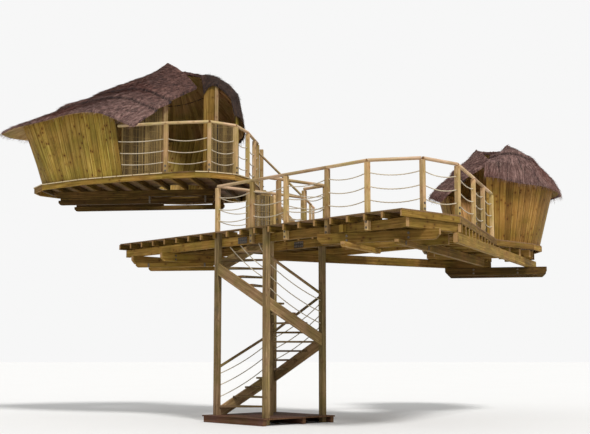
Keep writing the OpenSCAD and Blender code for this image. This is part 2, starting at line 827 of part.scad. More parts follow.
module ladder_strings() {
  l = (ladder_rises - 1) * ladder_going;
  color("goldenrod") at_ladder() for (y = [-ladder_w / 2 - 40, ladder_w / 2])
    translate([0, y + 40, 0]) rotate([90, 0, 0]) linear_extrude(40)
      polygon([
        [10, upper_rise - board_t - 200], [10, upper_rise - board_t],
        [120, upper_rise - board_t], [l + 180, 100], [l + 180, 0], [l + 30, 0]
      ]);
}

module ladder_treads() {
  color("peru") at_ladder() for (k = [1:ladder_rises - 1])
    translate([(ladder_rises - 1 - k) * ladder_going + 60, -ladder_w / 2, k * ladder_rise - 35])
      cube([200, ladder_w, 35]);
}

module ladder_handrails() {
  l = ladder_rises * ladder_going;
  p = [stair_post.x + rail_post / 2 - ladder_x, upper_rise + 900];
  q = [l, 950];
  slope = atan2(p.y - q.y, q.x - p.x);
  drop = 25 / cos(slope) + seat;
  foot = [for (x = [l - 60, l]) lerp(upper_rise - board_t, 100, (x - 120) / (l - 120)) + seat];
  color("wheat") at_ladder() for (y = [-ladder_w / 2 - 20, ladder_w / 2 + 20]) {
    pole([p.x, y, p.y], [q.x, y, q.y], 50);
    translate([0, y + 25, 0]) rotate([90, 0, 0]) linear_extrude(50) polygon([
      [l - 60, foot[0]], [l, foot[1]], [l, q.y - drop], [l - 60, q.y - drop + 60 * tan(slope)]
    ]);
  }
}

// End cabin round the right trunk
module end_joists() {
  color("peru") translate([0, 0, beam_top]) linear_extrude(joist_h) difference() {
    intersection() {
      translate(trunk_3) rotate(turn_3) union() for (x = [-2200:440:2200])
        translate([x, -3000]) square([joist_w, 6000]);
      polygon(inset(end_outline, rim_t, trunk_3));
    }
    translate(trunk_3) circle(r = trunk_3_r + trunk_gap, $fn = 48);
  }
}

module end_rim() {
  color("goldenrod") ring(end_outline, rim_t, trunk_3, joist_h, beam_top);
}

module end_deck() {
  color("peru") translate([0, 0, joist_top]) linear_extrude(board_t) difference() {
    polygon(end_outline);
    translate(trunk_3) circle(r = trunk_3_r + trunk_gap, $fn = 48);
  }
}

module at_end() {
  translate([0, 0, deck_z]) at_trunk(trunk_3, 0) children();
}

module end_wall_right() {
  color("darkkhaki") at_end() board_wall(end_roof, 0, 16);
}

module end_wall_left() {
  color("darkkhaki") at_end() board_wall(end_roof, 16, 36);
}

end_rows_low = [[0, 0], [0.12, 0], [0.28, 0], [0.42, 0], [0.48, 0]];
end_rows_top = [[0.42, 1], [0.48, 1], [0.65, 0.6], [0.82, 0.3], [1, 0]];

module end_roof_lower() {
  color("sienna") at_end() roof_course(end_roof, end_rows_low);
}

module end_roof_upper() {
  color("sienna") at_end() roof_course(end_roof, end_rows_top);
}

ground_bearers();
ground_deck();
tower_posts();
stair_newel();
stair_strings();
stair_flight_1();
stair_flight_2();
stair_flight_3();
stair_flight_4();
stair_flight_5();
stair_ropes();
stair_handrail();
trunk_1_clamps();
trunk_2_clamps();
trunk_3_clamps();
girders();
front_beam();
back_beams();
splice_plates();
walkway_beams();
mid_joists();
walkway_bearers();
mid_deck();
walkway_deck();
edge_boards();
rail_posts();
handrails();
deck_ropes();
reed_screens();
upper_clamps();
upper_beams();
upper_joists();
upper_rim();
upper_deck();
cabin_wall_front();
cabin_wall_back();
cabin_posts();
gable_wall();
roof_lower_course();
roof_middle_course();
roof_upper_course();
upper_rail_posts();
upper_handrail();
upper_ropes();
ladder_strings();
ladder_treads();
ladder_handrails();
end_joists();
end_rim();
end_deck();
end_wall_left();
end_wall_right();
end_roof_lower();
end_roof_upper();
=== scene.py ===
import json
import math
import random
import bpy
import bmesh
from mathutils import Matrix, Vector, noise


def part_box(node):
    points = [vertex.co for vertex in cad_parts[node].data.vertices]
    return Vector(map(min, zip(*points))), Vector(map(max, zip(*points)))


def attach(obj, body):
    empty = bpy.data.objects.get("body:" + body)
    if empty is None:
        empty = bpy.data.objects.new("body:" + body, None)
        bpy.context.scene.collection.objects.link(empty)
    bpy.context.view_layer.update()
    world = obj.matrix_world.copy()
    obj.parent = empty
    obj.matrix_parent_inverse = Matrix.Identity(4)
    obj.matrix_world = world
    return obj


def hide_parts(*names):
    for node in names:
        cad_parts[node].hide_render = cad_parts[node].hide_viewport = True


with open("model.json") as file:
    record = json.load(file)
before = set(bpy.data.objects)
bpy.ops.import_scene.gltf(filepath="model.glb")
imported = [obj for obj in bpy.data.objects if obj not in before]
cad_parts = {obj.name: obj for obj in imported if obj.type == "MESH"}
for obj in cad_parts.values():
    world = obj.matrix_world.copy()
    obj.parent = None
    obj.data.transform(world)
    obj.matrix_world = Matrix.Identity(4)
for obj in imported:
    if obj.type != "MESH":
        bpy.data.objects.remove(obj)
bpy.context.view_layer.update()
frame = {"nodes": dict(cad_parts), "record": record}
scene = bpy.context.scene
print("frame loaded:", len(frame["nodes"]), "nodes")

# Camera, lamps and floor
view = {"place": (17.34, -15.077, 1.5), "turn": (97.0, 0, 47.5), "lens": 36 * 1100 / 590, "sensor": 36, "reach": 400}
light = {
    "sun": 2.5, "sunSize": 12, "sunTurn": (38, 8, 62), "sky": 0.62, "skyColour": (0.97, 0.985, 1.0),
    "backdrop": 0.93, "floor": (0.8, 0.79, 0.77), "floorRadius": 150, "floorDrop": 0.001,
}


def addObject(name, data, turn=(0, 0, 0)):
    item = bpy.data.objects.new(name, data)
    item.rotation_euler = [math.radians(a) for a in turn]
    scene.collection.objects.link(item)
    return item


cameraData = bpy.data.cameras.new("camera")
cameraData.lens, cameraData.sensor_width, cameraData.clip_end = view["lens"], view["sensor"], view["reach"]
scene.camera = addObject("camera", cameraData, view["turn"])
scene.camera.location = view["place"]
scene.view_settings.view_transform = "Standard"

sunData = bpy.data.lights.new("sun", "SUN")
sunData.energy, sunData.angle = light["sun"], math.radians(light["sunSize"])
addObject("sun", sunData, light["sunTurn"])


# A socket with operators, so node maths reads as sums
class Wire:
    def __init__(self, graph, socket):
        self.graph, self.socket = graph, socket

    def sum(self, operation, *others):
        return self.graph.add("ShaderNodeMath", {"operation": operation}, [self, *others])

    def __add__(self, other):
        return self.sum("ADD", other)

    def __sub__(self, other):
        return self.sum("SUBTRACT", other)

    def __rsub__(self, other):
        return self.graph.add("ShaderNodeMath", {"operation": "SUBTRACT"}, [other, self])

    def __mul__(self, other):
        return self.sum("MULTIPLY", other)

    def __truediv__(self, other):
        return self.sum("DIVIDE", other)

    def clamp(self):
        return self.graph.add("ShaderNodeClamp", {}, [self])

    def ramp(self, low, high):
        return self.graph.add("ShaderNodeMapRange", {"interpolation_type": "SMOOTHSTEP"}, {0: self, 1: low, 2: high})


# A node graph with one short way to add and link nodes
class Graph:
    def __init__(self, graph):
        self.graph = graph

    def link(self, wire, socket):
        self.graph.links.new(wire.socket, socket)

    def add(self, kind, settings=None, inputs=(), output=0):
        node = self.graph.nodes.new(kind)
        for key, value in (settings or {}).items():
            setattr(node, key, value)
        for key, value in inputs.items() if isinstance(inputs, dict) else enumerate(inputs):
            socket = node.inputs[key]
            if isinstance(value, Wire):
                self.link(value, socket)
            elif socket.type == "RGBA":
                socket.default_value = (*value, 1)
            else:
                socket.default_value = value
        return Wire(self, node.outputs[output])

    def outputs(self, wire, *names):
        return [Wire(self, wire.socket.node.outputs[name]) for name in names]

    def xyz(self, x, y, z):
        return self.add("ShaderNodeCombineXYZ", {}, [x, y, z])

    def split(self, vector):
        return self.outputs(self.add("ShaderNodeSeparateXYZ", {}, [vector]), 0, 1, 2)


class Finish(Graph):
    def __init__(self, name, rough, **constants):
        self.material = bpy.data.materials.new(name)
        self.material.use_nodes = True
        super().__init__(self.material.node_tree)
        self.shader = self.graph.nodes["Principled BSDF"]
        for key, value in {"Roughness": rough, **constants}.items():
            self.shader.inputs[key].default_value = value

    def spot(self, name):
        return self.add("ShaderNodeAttribute", {"attribute_name": name}, (), 1)

    def number(self, name):
        return self.add("ShaderNodeAttribute", {"attribute_name": name}, (), 2)

    def here(self):
        return self.add("ShaderNodeTexCoord", output=3)

    def pick(self, value):
        return self.add("ShaderNodeTexWhiteNoise", {"noise_dimensions": "1D"}, {"W": value})

    def cells(self, x, y):
        inputs = {"Vector": self.xyz(x, y, 0), "Scale": 1.0}
        return self.add("ShaderNodeTexVoronoi", {"voronoi_dimensions": "2D"}, inputs)

    def noise(self, vector, scale, detail=3, rough=0.55, distort=0.0):
        inputs = {"Vector": vector, "Scale": scale, "Detail": detail, "Roughness": rough, "Distortion": distort}
        return self.add("ShaderNodeTexNoise", {}, inputs)

    def mix(self, factor, first, second, blend="MIX"):
        settings = {"data_type": "RGBA", "blend_type": blend}
        return self.add("ShaderNodeMix", settings, {0: factor, 6: first, 7: second}, 2)

    def ramp(self, factor, *stops):
        wire = self.add("ShaderNodeValToRGB", {}, [factor])
        elements = wire.socket.node.color_ramp.elements
        while len(elements) < len(stops):
            elements.new(0.5)
        for element, (position, colour) in zip(elements, stops):
            element.position, element.color = position, (*colour, 1)
        return wire

    def coat(self, colour, rough=None, height=None, strength=0.4, reach=0.01):
        self.link(colour, self.shader.inputs["Base Color"])
        if rough:
            self.link(rough, self.shader.inputs["Roughness"])
        if height:
            bump = self.add("ShaderNodeBump", {}, {"Strength": strength, "Distance": reach, "Height": height})
            self.link(bump, self.shader.inputs["Normal"])
        return self.material


# Wood seen along its own grain: "grain" holds metres along and across each board or timber
woodFields = ("dark", "mid", "light", "end", "green", "knots", "grey", "rough")
woods = {
    "timber": ((0.102, 0.053, 0.008), (0.228, 0.132, 0.023), (0.375, 0.247, 0.062),
               (0.44, 0.255, 0.1), 0.22, 0.7, 0.12, 0.72),
    # under and shaded are darker copies of the timber: painted shade for the joists, clamps and beams beneath the decks
    "under": ((0.045, 0.023, 0.004), (0.118, 0.068, 0.01), (0.235, 0.15, 0.03),
              (0.42, 0.24, 0.092), 0.12, 0.5, 0.1, 0.76),
    "shaded": ((0.03, 0.014, 0.003), (0.082, 0.044, 0.008), (0.165, 0.1, 0.024),
               (0.4, 0.225, 0.088), 0.1, 0.5, 0.1, 0.78),
    # string is the stair timber made lighter, partly painted light: its tone is set between the sunlit front string and
    # the shaded ones
    "string": ((0.16, 0.094, 0.038), (0.31, 0.205, 0.09), (0.48, 0.345, 0.17),
               (0.3, 0.16, 0.06), 0.15, 0.4, 0.2, 0.75),
    "tower": ((0.082, 0.05, 0.019), (0.174, 0.118, 0.052), (0.315, 0.228, 0.115),
              (0.26, 0.13, 0.05), 0.25, 0.4, 0.3, 0.8),
    "post": ((0.27, 0.165, 0.06), (0.47, 0.325, 0.14), (0.64, 0.48, 0.25),
             (0.45, 0.24, 0.09), 0.15, 0.5, 0.2, 0.68),
    "cladding": ((0.15, 0.082, 0.01), (0.285, 0.186, 0.029), (0.45, 0.335, 0.078),
                 (0.33, 0.19, 0.06), 0.15, 1.0, 0.0, 0.62),
    "endCladding": ((0.145, 0.07, 0.011), (0.265, 0.148, 0.028), (0.42, 0.265, 0.068),
                    (0.33, 0.19, 0.06), 0.0, 0.8, 0.1, 0.66),
    "boards": ((0.11, 0.062, 0.024), (0.205, 0.127, 0.056), (0.35, 0.24, 0.13),
               (0.26, 0.148, 0.066), 0.1, 0.3, 0.35, 0.82),
    "paleEnds": ((0.11, 0.062, 0.024), (0.205, 0.127, 0.056), (0.35, 0.24, 0.13),
                 (0.7, 0.56, 0.34), 0.1, 0.3, 0.35, 0.82),
    "underfoot": ((0.04, 0.018, 0.009), (0.085, 0.04, 0.02), (0.15, 0.08, 0.045),
                  (0.15, 0.075, 0.035), 0.0, 0.2, 0.3, 0.85),
    "rail": ((0.28, 0.18, 0.08), (0.48, 0.345, 0.18), (0.68, 0.54, 0.34),
             (0.4, 0.23, 0.1), 0.1, 0.35, 0.3, 0.6),
    "lining": ((0.25, 0.155, 0.045), (0.4, 0.275, 0.092), (0.53, 0.39, 0.16),
               (0.38, 0.22, 0.08), 0.1, 0.6, 0.05, 0.65),
}
# How fine the grain is, and how large and how common the knots are
woodGrain = {
    "streaks": 16, "fibres": 130, "rings": 38, "dark": 0.34, "light": 0.64,
    "knotSize": (0.05, 0.17), "haloSize": (0.12, 0.42), "knotShare": (0.49, 0.56), "halo": 0.45,
    "pinSize": (0.04, 0.15), "pinShare": (0.54, 0.61), "pins": 0.7,
    "seam": (0.87, 0.99), "seamDark": 0.85, "bump": 0.45, "bumpReach": 0.006,
}
boardTones = ((0.0, (0.66, 0.61, 0.54)), (0.5, (0.96, 0.95, 0.93)), (1.0, (1.26, 1.24, 1.18)))
patchTones = ((0.38, (0.84, 0.88, 0.74)), (0.62, (1.16, 1.07, 1.28)))


def scaled(colour, by):
    return tuple(a * b for a, b in zip(colour, by))


def woodFinish(name):
    w, look = dict(zip(woodFields, woods[name])), woodGrain
    f = Finish(name + " wood", w["rough"], **{"Specular IOR Level": 0.15})
    along, across, deep = f.split(f.spot("grain"))
    member, here = f.number("member"), f.here()
    fine = look["streaks"]
    streak = f.noise(f.xyz(along * 0.9 + member * 3.7, across * fine, deep * fine), 1.6, 5, 0.6, 0.9)
    fine = look["fibres"]
    fibre = f.noise(f.xyz(along * 5, across * fine, deep * fine), 1, 3, 0.6)
    fine = look["rings"]
    rings = f.noise(f.xyz(along * 0.35 + member, across * fine, deep * fine), 1, 2, 0.5, 0.6)
    grain = streak * 0.55 + rings * 0.3 + fibre * 0.15
    colour = f.ramp(grain, (look["dark"], w["dark"]), (0.5, w["mid"]), (look["light"], w["light"]))
    green = f.noise(here, 0.9, 3, 0.55).ramp(0.45, 0.7) * w["green"]
    colour = f.mix(green, colour, scaled(w["mid"], (0.92, 1.06, 0.62)))
    grey = f.noise(here, 3.1, 4, 0.6).ramp(0.5, 0.75) * w["grey"]
    colour = f.mix(grey, colour, tuple(0.55 * a + 0.05 for a in w["mid"]))
    colour = f.mix(1.0, colour, f.ramp(f.noise(here, 1.7, 4, 0.6), *patchTones), "MULTIPLY")
    # knots in two sizes, each only where its own noise is high
    spots = f.cells(along * 4.5 + member * 1.3, across * 6)
    wide = f.noise(f.xyz(along * 2.2, member * 3, 0), 1.2, 1).ramp(*look["knotShare"])
    pins = f.cells(along * 8 + member * 2.9, across * 11)
    sparse = f.noise(f.xyz(along * 3.1, member * 5, 4), 1.7, 1).ramp(*look["pinShare"])
    small = (1 - pins.ramp(*look["pinSize"])) * sparse * look["pins"]
    knot = ((1 - spots.ramp(*look["knotSize"])) * wide + small).clamp() * w["knots"]
    halo = (1 - spots.ramp(*look["haloSize"])) * wide * (look["halo"] * w["knots"])
    colour = f.mix(halo, colour, scaled(w["dark"], (1.25, 1.0, 0.9)))
    colour = f.mix(knot, colour, scaled(w["dark"], (0.62, 0.42, 0.45)))
    # each board has its own tone and dark seams; faces marked inner (wall insides, lining by the hood) get painted
    # light, multiplied paler
    colour = f.mix(1.0, colour, f.ramp(f.pick(member + 0.37), *boardTones), "MULTIPLY")
    seam = f.number("side").sum("ABSOLUTE").ramp(*look["seam"]) * look["seamDark"]
    colour = f.mix(seam, colour, scaled(w["dark"], (0.25, 0.25, 0.25)))
    colour = f.mix(f.number("inner").ramp(0.6, 0.9), colour, (1.9, 1.95, 2.9), "MULTIPLY")
    cutColour = f.mix(fibre.ramp(0.3, 0.7), scaled(w["end"], (0.6, 0.6, 0.6)), w["end"])
    colour = f.mix(f.number("cutEnd"), colour, cutColour)
    height = streak * 0.5 + fibre * 0.5 - knot * 0.6
    return f.coat(colour, fibre * 0.12 + (w["rough"] - 0.06), height, look["bump"], look["bumpReach"])


finishes = {name: woodFinish(name) for name in woods}

# The fibrous roof covering: "slope" holds metres round and up the roof, "seam" is painted shade at each course's lower
# edge and under the next course's edge
thatch = {
    "dark": (0.02, 0.009, 0.007), "mid": (0.12, 0.058, 0.048), "light": (0.305, 0.182, 0.152),
    "rust": (0.165, 0.042, 0.022), "speck": (0.4, 0.29, 0.235), "seam": (0.008, 0.004, 0.004),
    "high": (6.9, 7.9), "highTint": (0.5, 0.36, 0.3),
    "hoodward": (0.64, 0.77), "hoodFrom": (-1.85, -1.4), "hoodTo": (1, 2), "hoodShadeTint": (0.3, 0.27, 0.19),
    "bump": 0.9, "bumpReach": 0.03,
}


def thatchFinish(name, strands):
    t = thatch
    f = Finish(name, 0.92)
    here = f.here()
    east, north, height = f.split(here)
    high = height.ramp(*t["high"])
    hoodward = east * t["hoodward"][0] + north * t["hoodward"][1]
    hoodShade = hoodward.ramp(*t["hoodFrom"]) * (1 - hoodward.ramp(*t["hoodTo"]))
    rusty = f.noise(here, 0.8, 3, 0.5).ramp(0.5, 0.72)

    # darker high up, and painted shade on the hood's side, which is turned from the light
    def shade(colour, amount):
        return f.mix(hoodShade, f.mix(high * amount, colour, t["highTint"], "MULTIPLY"), t["hoodShadeTint"], "MULTIPLY")

    if strands:
        stops = (0.0, t["dark"]), (0.32, t["mid"]), (0.75, t["light"]), (1.0, t["speck"])
        colour = f.ramp(f.pick(f.number("strand")), *stops)
        return f.coat(shade(f.mix(rusty * 0.5, colour, t["rust"]), 0.8))
    around, up, deep = f.split(f.spot("slope"))
    fibre = f.noise(f.xyz(around * 15, up * 3.4, deep), 1, 5, 0.72, 0.9)
    fine = f.noise(f.xyz(around * 48, up * 9, deep), 1, 4, 0.7, 0.6)
    clump = f.noise(here, 7, 5, 0.7)
    stops = (0.41, t["dark"]), (0.5, t["mid"]), (0.58, t["light"])
    colour = f.ramp(fibre * 0.48 + fine * 0.34 + clump * 0.18, *stops)
    rust = f.mix(fine, scaled(t["rust"], (0.5, 0.5, 0.5)), t["rust"])
    colour = shade(f.mix(rusty * 0.45, colour, rust), 0.75)
    specks = f.noise(f.xyz(around * 30, up * 12, 0), 1, 2, 0.7).ramp(0.62, 0.72) * fine.ramp(0.45, 0.6)
    colour = f.mix(specks * (0.6 - high * 0.4), colour, t["speck"])
    # painted shade along each course's lower edge and under the next course
    colour = f.mix(f.number("seam"), colour, t["seam"])
    return f.coat(colour, None, fibre * 0.6 + fine * 0.4 + clump * 0.5, t["bump"], t["bumpReach"])


finishes["thatch"] = thatchFinish("roof covering", False)
finishes["strands"] = thatchFinish("roof strands", True)

# Reed: a tone for each stalk, and a dark joint after each panel of stalks
reedLook = {"panel": 62, "dark": (0.046, 0.025, 0.006), "mid": (0.19, 0.118, 0.032), "light": (0.44, 0.3, 0.105)}


def reedFinish():
    f = Finish("reed", 0.75)
    member = f.number("member")
    along, across, deep = f.split(f.spot("grain"))
    streak = f.noise(f.xyz(along * 6, across * 3, member), 1, 3, 0.6)
    stops = (0.25, reedLook["dark"]), (0.5, reedLook["mid"]), (0.75, reedLook["light"])
    colour = f.ramp(f.pick(member + 0.11) * 0.6 + streak * 0.4, *stops)
    panel = (member / reedLook["panel"] + 0.5).sum("FRACT")
    joint = (1 - panel.ramp(0.012, 0.03)) + panel.ramp(0.97, 0.988)
    return f.coat(f.mix(joint.clamp(), colour, (0.012, 0.007, 0.003)), None, streak, 0.3, 0.004)


# Rope and metals: colours by place, rougher and raised where worn
speckled = {
    "rope": {"rough": 0.8, "metal": 0.0, "wear": (160, 3, 0.6), "wash": 0.4, "bump": (0.3, 0.003),
             "stops": ((0.3, (0.3, 0.235, 0.15)), (0.55, (0.56, 0.475, 0.34)), (0.8, (0.76, 0.68, 0.54)))},
    "steel": {"rough": 0.5, "metal": 0.25, "wear": (30, 5, 0.65), "spread": (0.4, 0.3), "bump": (0.2, 0.002),
              "stops": ((0.3, (0.011, 0.01, 0.009)), (0.6, (0.026, 0.023, 0.02)), (0.75, (0.085, 0.046, 0.028)))},
    "bolts": {"rough": 0.55, "metal": 0.6, "wear": (60, 4, 0.6), "spread": (0.3, 0.4),
              "stops": ((0.35, (0.07, 0.048, 0.03)), (0.6, (0.2, 0.165, 0.125)), (0.8, (0.33, 0.29, 0.24)))},
}


def speckledFinish(name, s):
    f = Finish(name, s["rough"], Metallic=s["metal"])
    wear = f.noise(f.here(), *s["wear"])
    tone = wear * (1 - s["wash"]) + f.noise(f.here(), 6, 2, 0.5) * s["wash"] if "wash" in s else wear
    rough = wear * s["spread"][0] + s["spread"][1] if "spread" in s else None
    height = wear if "bump" in s else None
    return f.coat(f.ramp(tone, *s["stops"]), rough, height, *s.get("bump", ()))


finishes["reed"] = reedFinish()
for name, look in speckled.items():
    finishes[name] = speckledFinish(name, look)
print("finishes made:", len(finishes))


# Small helpers for meshes and pieces
def meshOf(name, points, faces=(), edges=()):
    mesh = bpy.data.meshes.new(name)
    mesh.from_pydata([tuple(p) for p in points], edges, faces)
    mesh.update()
    return mesh


def pathMesh(name, runs):
    points, edges = [], []
    for run in runs:
        edges += [(len(points) + i, len(points) + i + 1) for i in range(len(run) - 1)]
        points += run
    return meshOf(name, points, [], edges)


def editing(mesh):
    bm = bmesh.new()
    bm.from_mesh(mesh)
    return bm


def outward(mesh):
    bm = editing(mesh)
    bmesh.ops.recalc_face_normals(bm, faces=bm.faces)
    bm.to_mesh(mesh)
    bm.free()
    return mesh


def smoothed(mesh, angle):
    mesh.polygons.foreach_set("use_smooth", [True] * len(mesh.polygons))
    mesh.set_sharp_from_angle(angle=math.radians(angle))
    return mesh


def pointValues(mesh, name, values):
    layer = mesh.attributes.new(name, "FLOAT", "POINT")
    layer.data.foreach_set("value", values)


def pointVectors(mesh, name, vectors):
    layer = mesh.attributes.new(name, "FLOAT_VECTOR", "POINT")
    layer.data.foreach_set("vector", [c for v in vectors for c in v])


def titled(node):
    return node.title().replace("_", "")


def place(name, mesh, finish, slotName, *nodes):
    if finish:
        mesh.materials.clear()
        mesh.materials.append(finishes[finish])
    piece = addObject(name, mesh)
    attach(piece, "root")
    if nodes:
        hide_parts(*nodes)
    return piece


# Floor and sky
def makeFloor():
    f = Finish("floor", 0.95)
    colour = f.mix(f.noise(f.here(), 0.35, 2, 0.5), light["floor"], tuple(0.97 * a for a in light["floor"]))
    radius, turns = light["floorRadius"], [math.radians(a) for a in range(0, 360, 5)]
    ring = [(radius * math.cos(a), radius * math.sin(a), -light["floorDrop"]) for a in turns]
    mesh = meshOf("floor", ring, [list(range(len(ring)))])
    mesh.materials.append(f.coat(colour))
    addObject("floor", mesh)


def makeSky():
    scene.world = bpy.data.worlds.new("sky")
    scene.world.use_nodes = True
    g = Graph(scene.world.node_tree)
    g.graph.nodes.remove(g.graph.nodes["Background"])
    plain = g.add("ShaderNodeBackground", {}, [light["skyColour"], light["sky"]])
    shown = g.add("ShaderNodeBackground", {}, [(1, 1, 1), light["backdrop"]])
    seen, shiny = g.outputs(g.add("ShaderNodeLightPath"), "Is Camera Ray", "Is Glossy Ray")
    mixed = g.add("ShaderNodeMixShader", {}, [seen.sum("MAXIMUM", shiny), plain, shown])
    g.link(mixed, g.graph.nodes["World Output"].inputs[0])


makeFloor()
makeSky()


# Grain: each corner's place along and across its own timber
def islandsOf(bm):
    seen, found = set(), []
    for start in bm.faces:
        if start.index in seen:
            continue
        stack, group = [start], []
        seen.add(start.index)
        while stack:
            face = stack.pop()
            group.append(face)
            for other in (other for edge in face.edges for other in edge.link_faces):
                if other.index not in seen:
                    seen.add(other.index)
                    stack.append(other)
        found.append(group)
    return found


def edgesOf(group):
    return sorted({e for face in group for e in face.edges}, key=lambda e: e.index)


def cornersOf(group):
    return [v.co for v in dict.fromkeys(v for face in group for v in face.verts)]


def heartOf(group):
    corners = cornersOf(group)
    return sum(corners, Vector()) / len(corners)


def frameOf(axis):
    side = axis.cross(Vector((0, 0, 1)))
    if side.length < 0.2:
        side = Vector((1, 0, 0)).cross(axis)
    side.normalize()
    return axis, side, axis.cross(side)


def longest(edges):
    best = max(edges, key=lambda e: e.calc_length())
    return (best.verts[1].co - best.verts[0].co).normalized()


# Cosines that tell a cut end from a side, the turn of tone between rim boards, and how the draws are spread
grainMarks = {"end": 0.75, "top": 0.5, "square": 0.97, "level": 0.02, "turnTone": (4, 0.7), "member": 60, "shift": 9}
seeds = {"timbers": 100, "rims": 200, "poles": 300, "decks": 400, "linings": 77, "walls": 31}


def markGrain(bm, seed, perFace=False, along=None, order=None):
    marks = grainMarks
    bm.faces.index_update()
    bm.edges.index_update()
    grain = bm.loops.layers.float_vector.new("grain")
    member = bm.faces.layers.float.new("member")
    cut = bm.faces.layers.float.new("cutEnd")
    rng = random.Random(seed)
    groups = islandsOf(bm)
    for group in sorted(groups, key=order) if order else groups:
        number = rng.uniform(0, marks["member"])
        shift = Vector([rng.uniform(0, marks["shift"]) for i in range(3)])
        axis = along or longest(edgesOf(group))
        for face in group:
            tone = 0
            if perFace:
                level = [e for e in face.edges
                         if abs(e.verts[1].co.z - e.verts[0].co.z) < marks["level"] * e.calc_length()]
                axis = longest(level or face.edges)
                steps, each = marks["turnTone"]
                tone = round(math.atan2(axis.y, axis.x) * steps) * each
            face[member] = number + tone
            a, b, c = frameOf(axis)
            slanted = along and abs(face.normal.z) < marks["top"] and abs(face.normal.dot(b)) < marks["square"]
            isEnd = (abs(face.normal.dot(a)) > marks["end"] or slanted) and not perFace
            face[cut] = 1.0 if isEnd else 0.0
            if abs(face.normal.dot(b)) > abs(face.normal.dot(c)):
                b, c = c, b
            for loop in face.loops:
                p = loop.vert.co
                loop[grain] = Vector((p.dot(a), p.dot(b), p.dot(c))) + shift


def softEdges(bm, width, sharp=30):
    bm.faces.index_update()
    bm.edges.index_update()
    for group in islandsOf(bm):
        edges = [e for e in edgesOf(group)
                 if len(e.link_faces) == 2 and e.calc_face_angle(0) > math.radians(sharp)]
        if edges:
            bmesh.ops.bevel(bm, geom=edges, offset=width, segments=1, profile=0.5, affect="EDGES", clamp_overlap=True)
    bm.normal_update()


def cleaned(mesh, merge):
    bm = editing(mesh)
    bmesh.ops.remove_doubles(bm, verts=bm.verts, dist=merge)
    bmesh.ops.dissolve_limit(bm, angle_limit=math.radians(0.8), verts=bm.verts, edges=bm.edges)
    bm.edges.index_update()
    return bm


def cadCopy(node):
    bm = cleaned(frame["nodes"][node].data, 2e-5)
    bm.normal_update()
    return bm


def toMesh(bm, name, smooth=None):
    for layer in list(bm.loops.layers.uv):
        bm.loops.layers.uv.remove(layer)
    mesh = bpy.data.meshes.new(name)
    bm.to_mesh(mesh)
    bm.free()
    return smoothed(mesh, smooth) if smooth else mesh


# Timbers: each node's own copy with eased edges and grain along every timber
# the finishes under and shaded give the pieces beneath the decks painted shade
timbers = {
    "ground_bearers": ("underfoot", 0.005), "tower_posts": ("tower", 0.006), "stair_newel": ("tower", 0.005),
    "stair_strings": ("string", 0.004), **{"stair_flight_%d" % n: ("tower", 0.004) for n in range(1, 6)},
    "trunk_1_clamps": ("timber", 0.008), "trunk_2_clamps": ("timber", 0.008), "trunk_3_clamps": ("shaded", 0.008),
    "girders": ("timber", 0.007), "front_beam": ("timber", 0.006), "back_beams": ("timber", 0.006),
    "walkway_beams": ("timber", 0.004), "mid_joists": ("under", 0.004), "walkway_bearers": ("under", 0.004),
    "edge_boards": ("timber", 0.004), "rail_posts": ("post", 0.006), "upper_clamps": ("shaded", 0.007),
    "upper_beams": ("shaded", 0.006), "upper_joists": ("under", 0.004), "upper_rail_posts": ("post", 0.006),
    "cabin_posts": ("string", 0.006), "gable_wall": ("timber", 0.003), "ladder_strings": ("post", 0.004),
    "ladder_treads": ("boards", 0.004), "end_joists": ("under", 0.004),
}
rims = {"upper_rim": "timber", "end_rim": "timber"}
rimEase = 0.003
poles = {"handrails": "rail", "upper_handrail": "rail", "stair_handrail": "tower", "ladder_handrails": "rail"}
poleSmooth = 40
slotOf = {row["node"]: row["material_slot"] for row in frame["record"]["subparts"]}


def dress(node, ending, finish, seed, ease=None, smooth=None, perFace=False):
    bm = cadCopy(node)
    if ease:
        softEdges(bm, ease)
    markGrain(bm, seed, perFace)
    mesh = toMesh(bm, node + "_" + ending, smooth)
    place(titled(node) + ending.title(), mesh, finish, slotOf[node], node)


def makeTimbers():
    for number, (node, (finish, ease)) in enumerate(timbers.items(), seeds["timbers"]):
        dress(node, "timber", finish, number, ease)
    for number, (node, finish) in enumerate(rims.items(), seeds["rims"]):
        dress(node, "boards", finish, number, rimEase, perFace=True)
    for number, (node, finish) in enumerate(poles.items(), seeds["poles"]):
        dress(node, "poles", finish, number, smooth=poleSmooth)
    print("timbers dressed:", len(timbers))


makeTimbers()


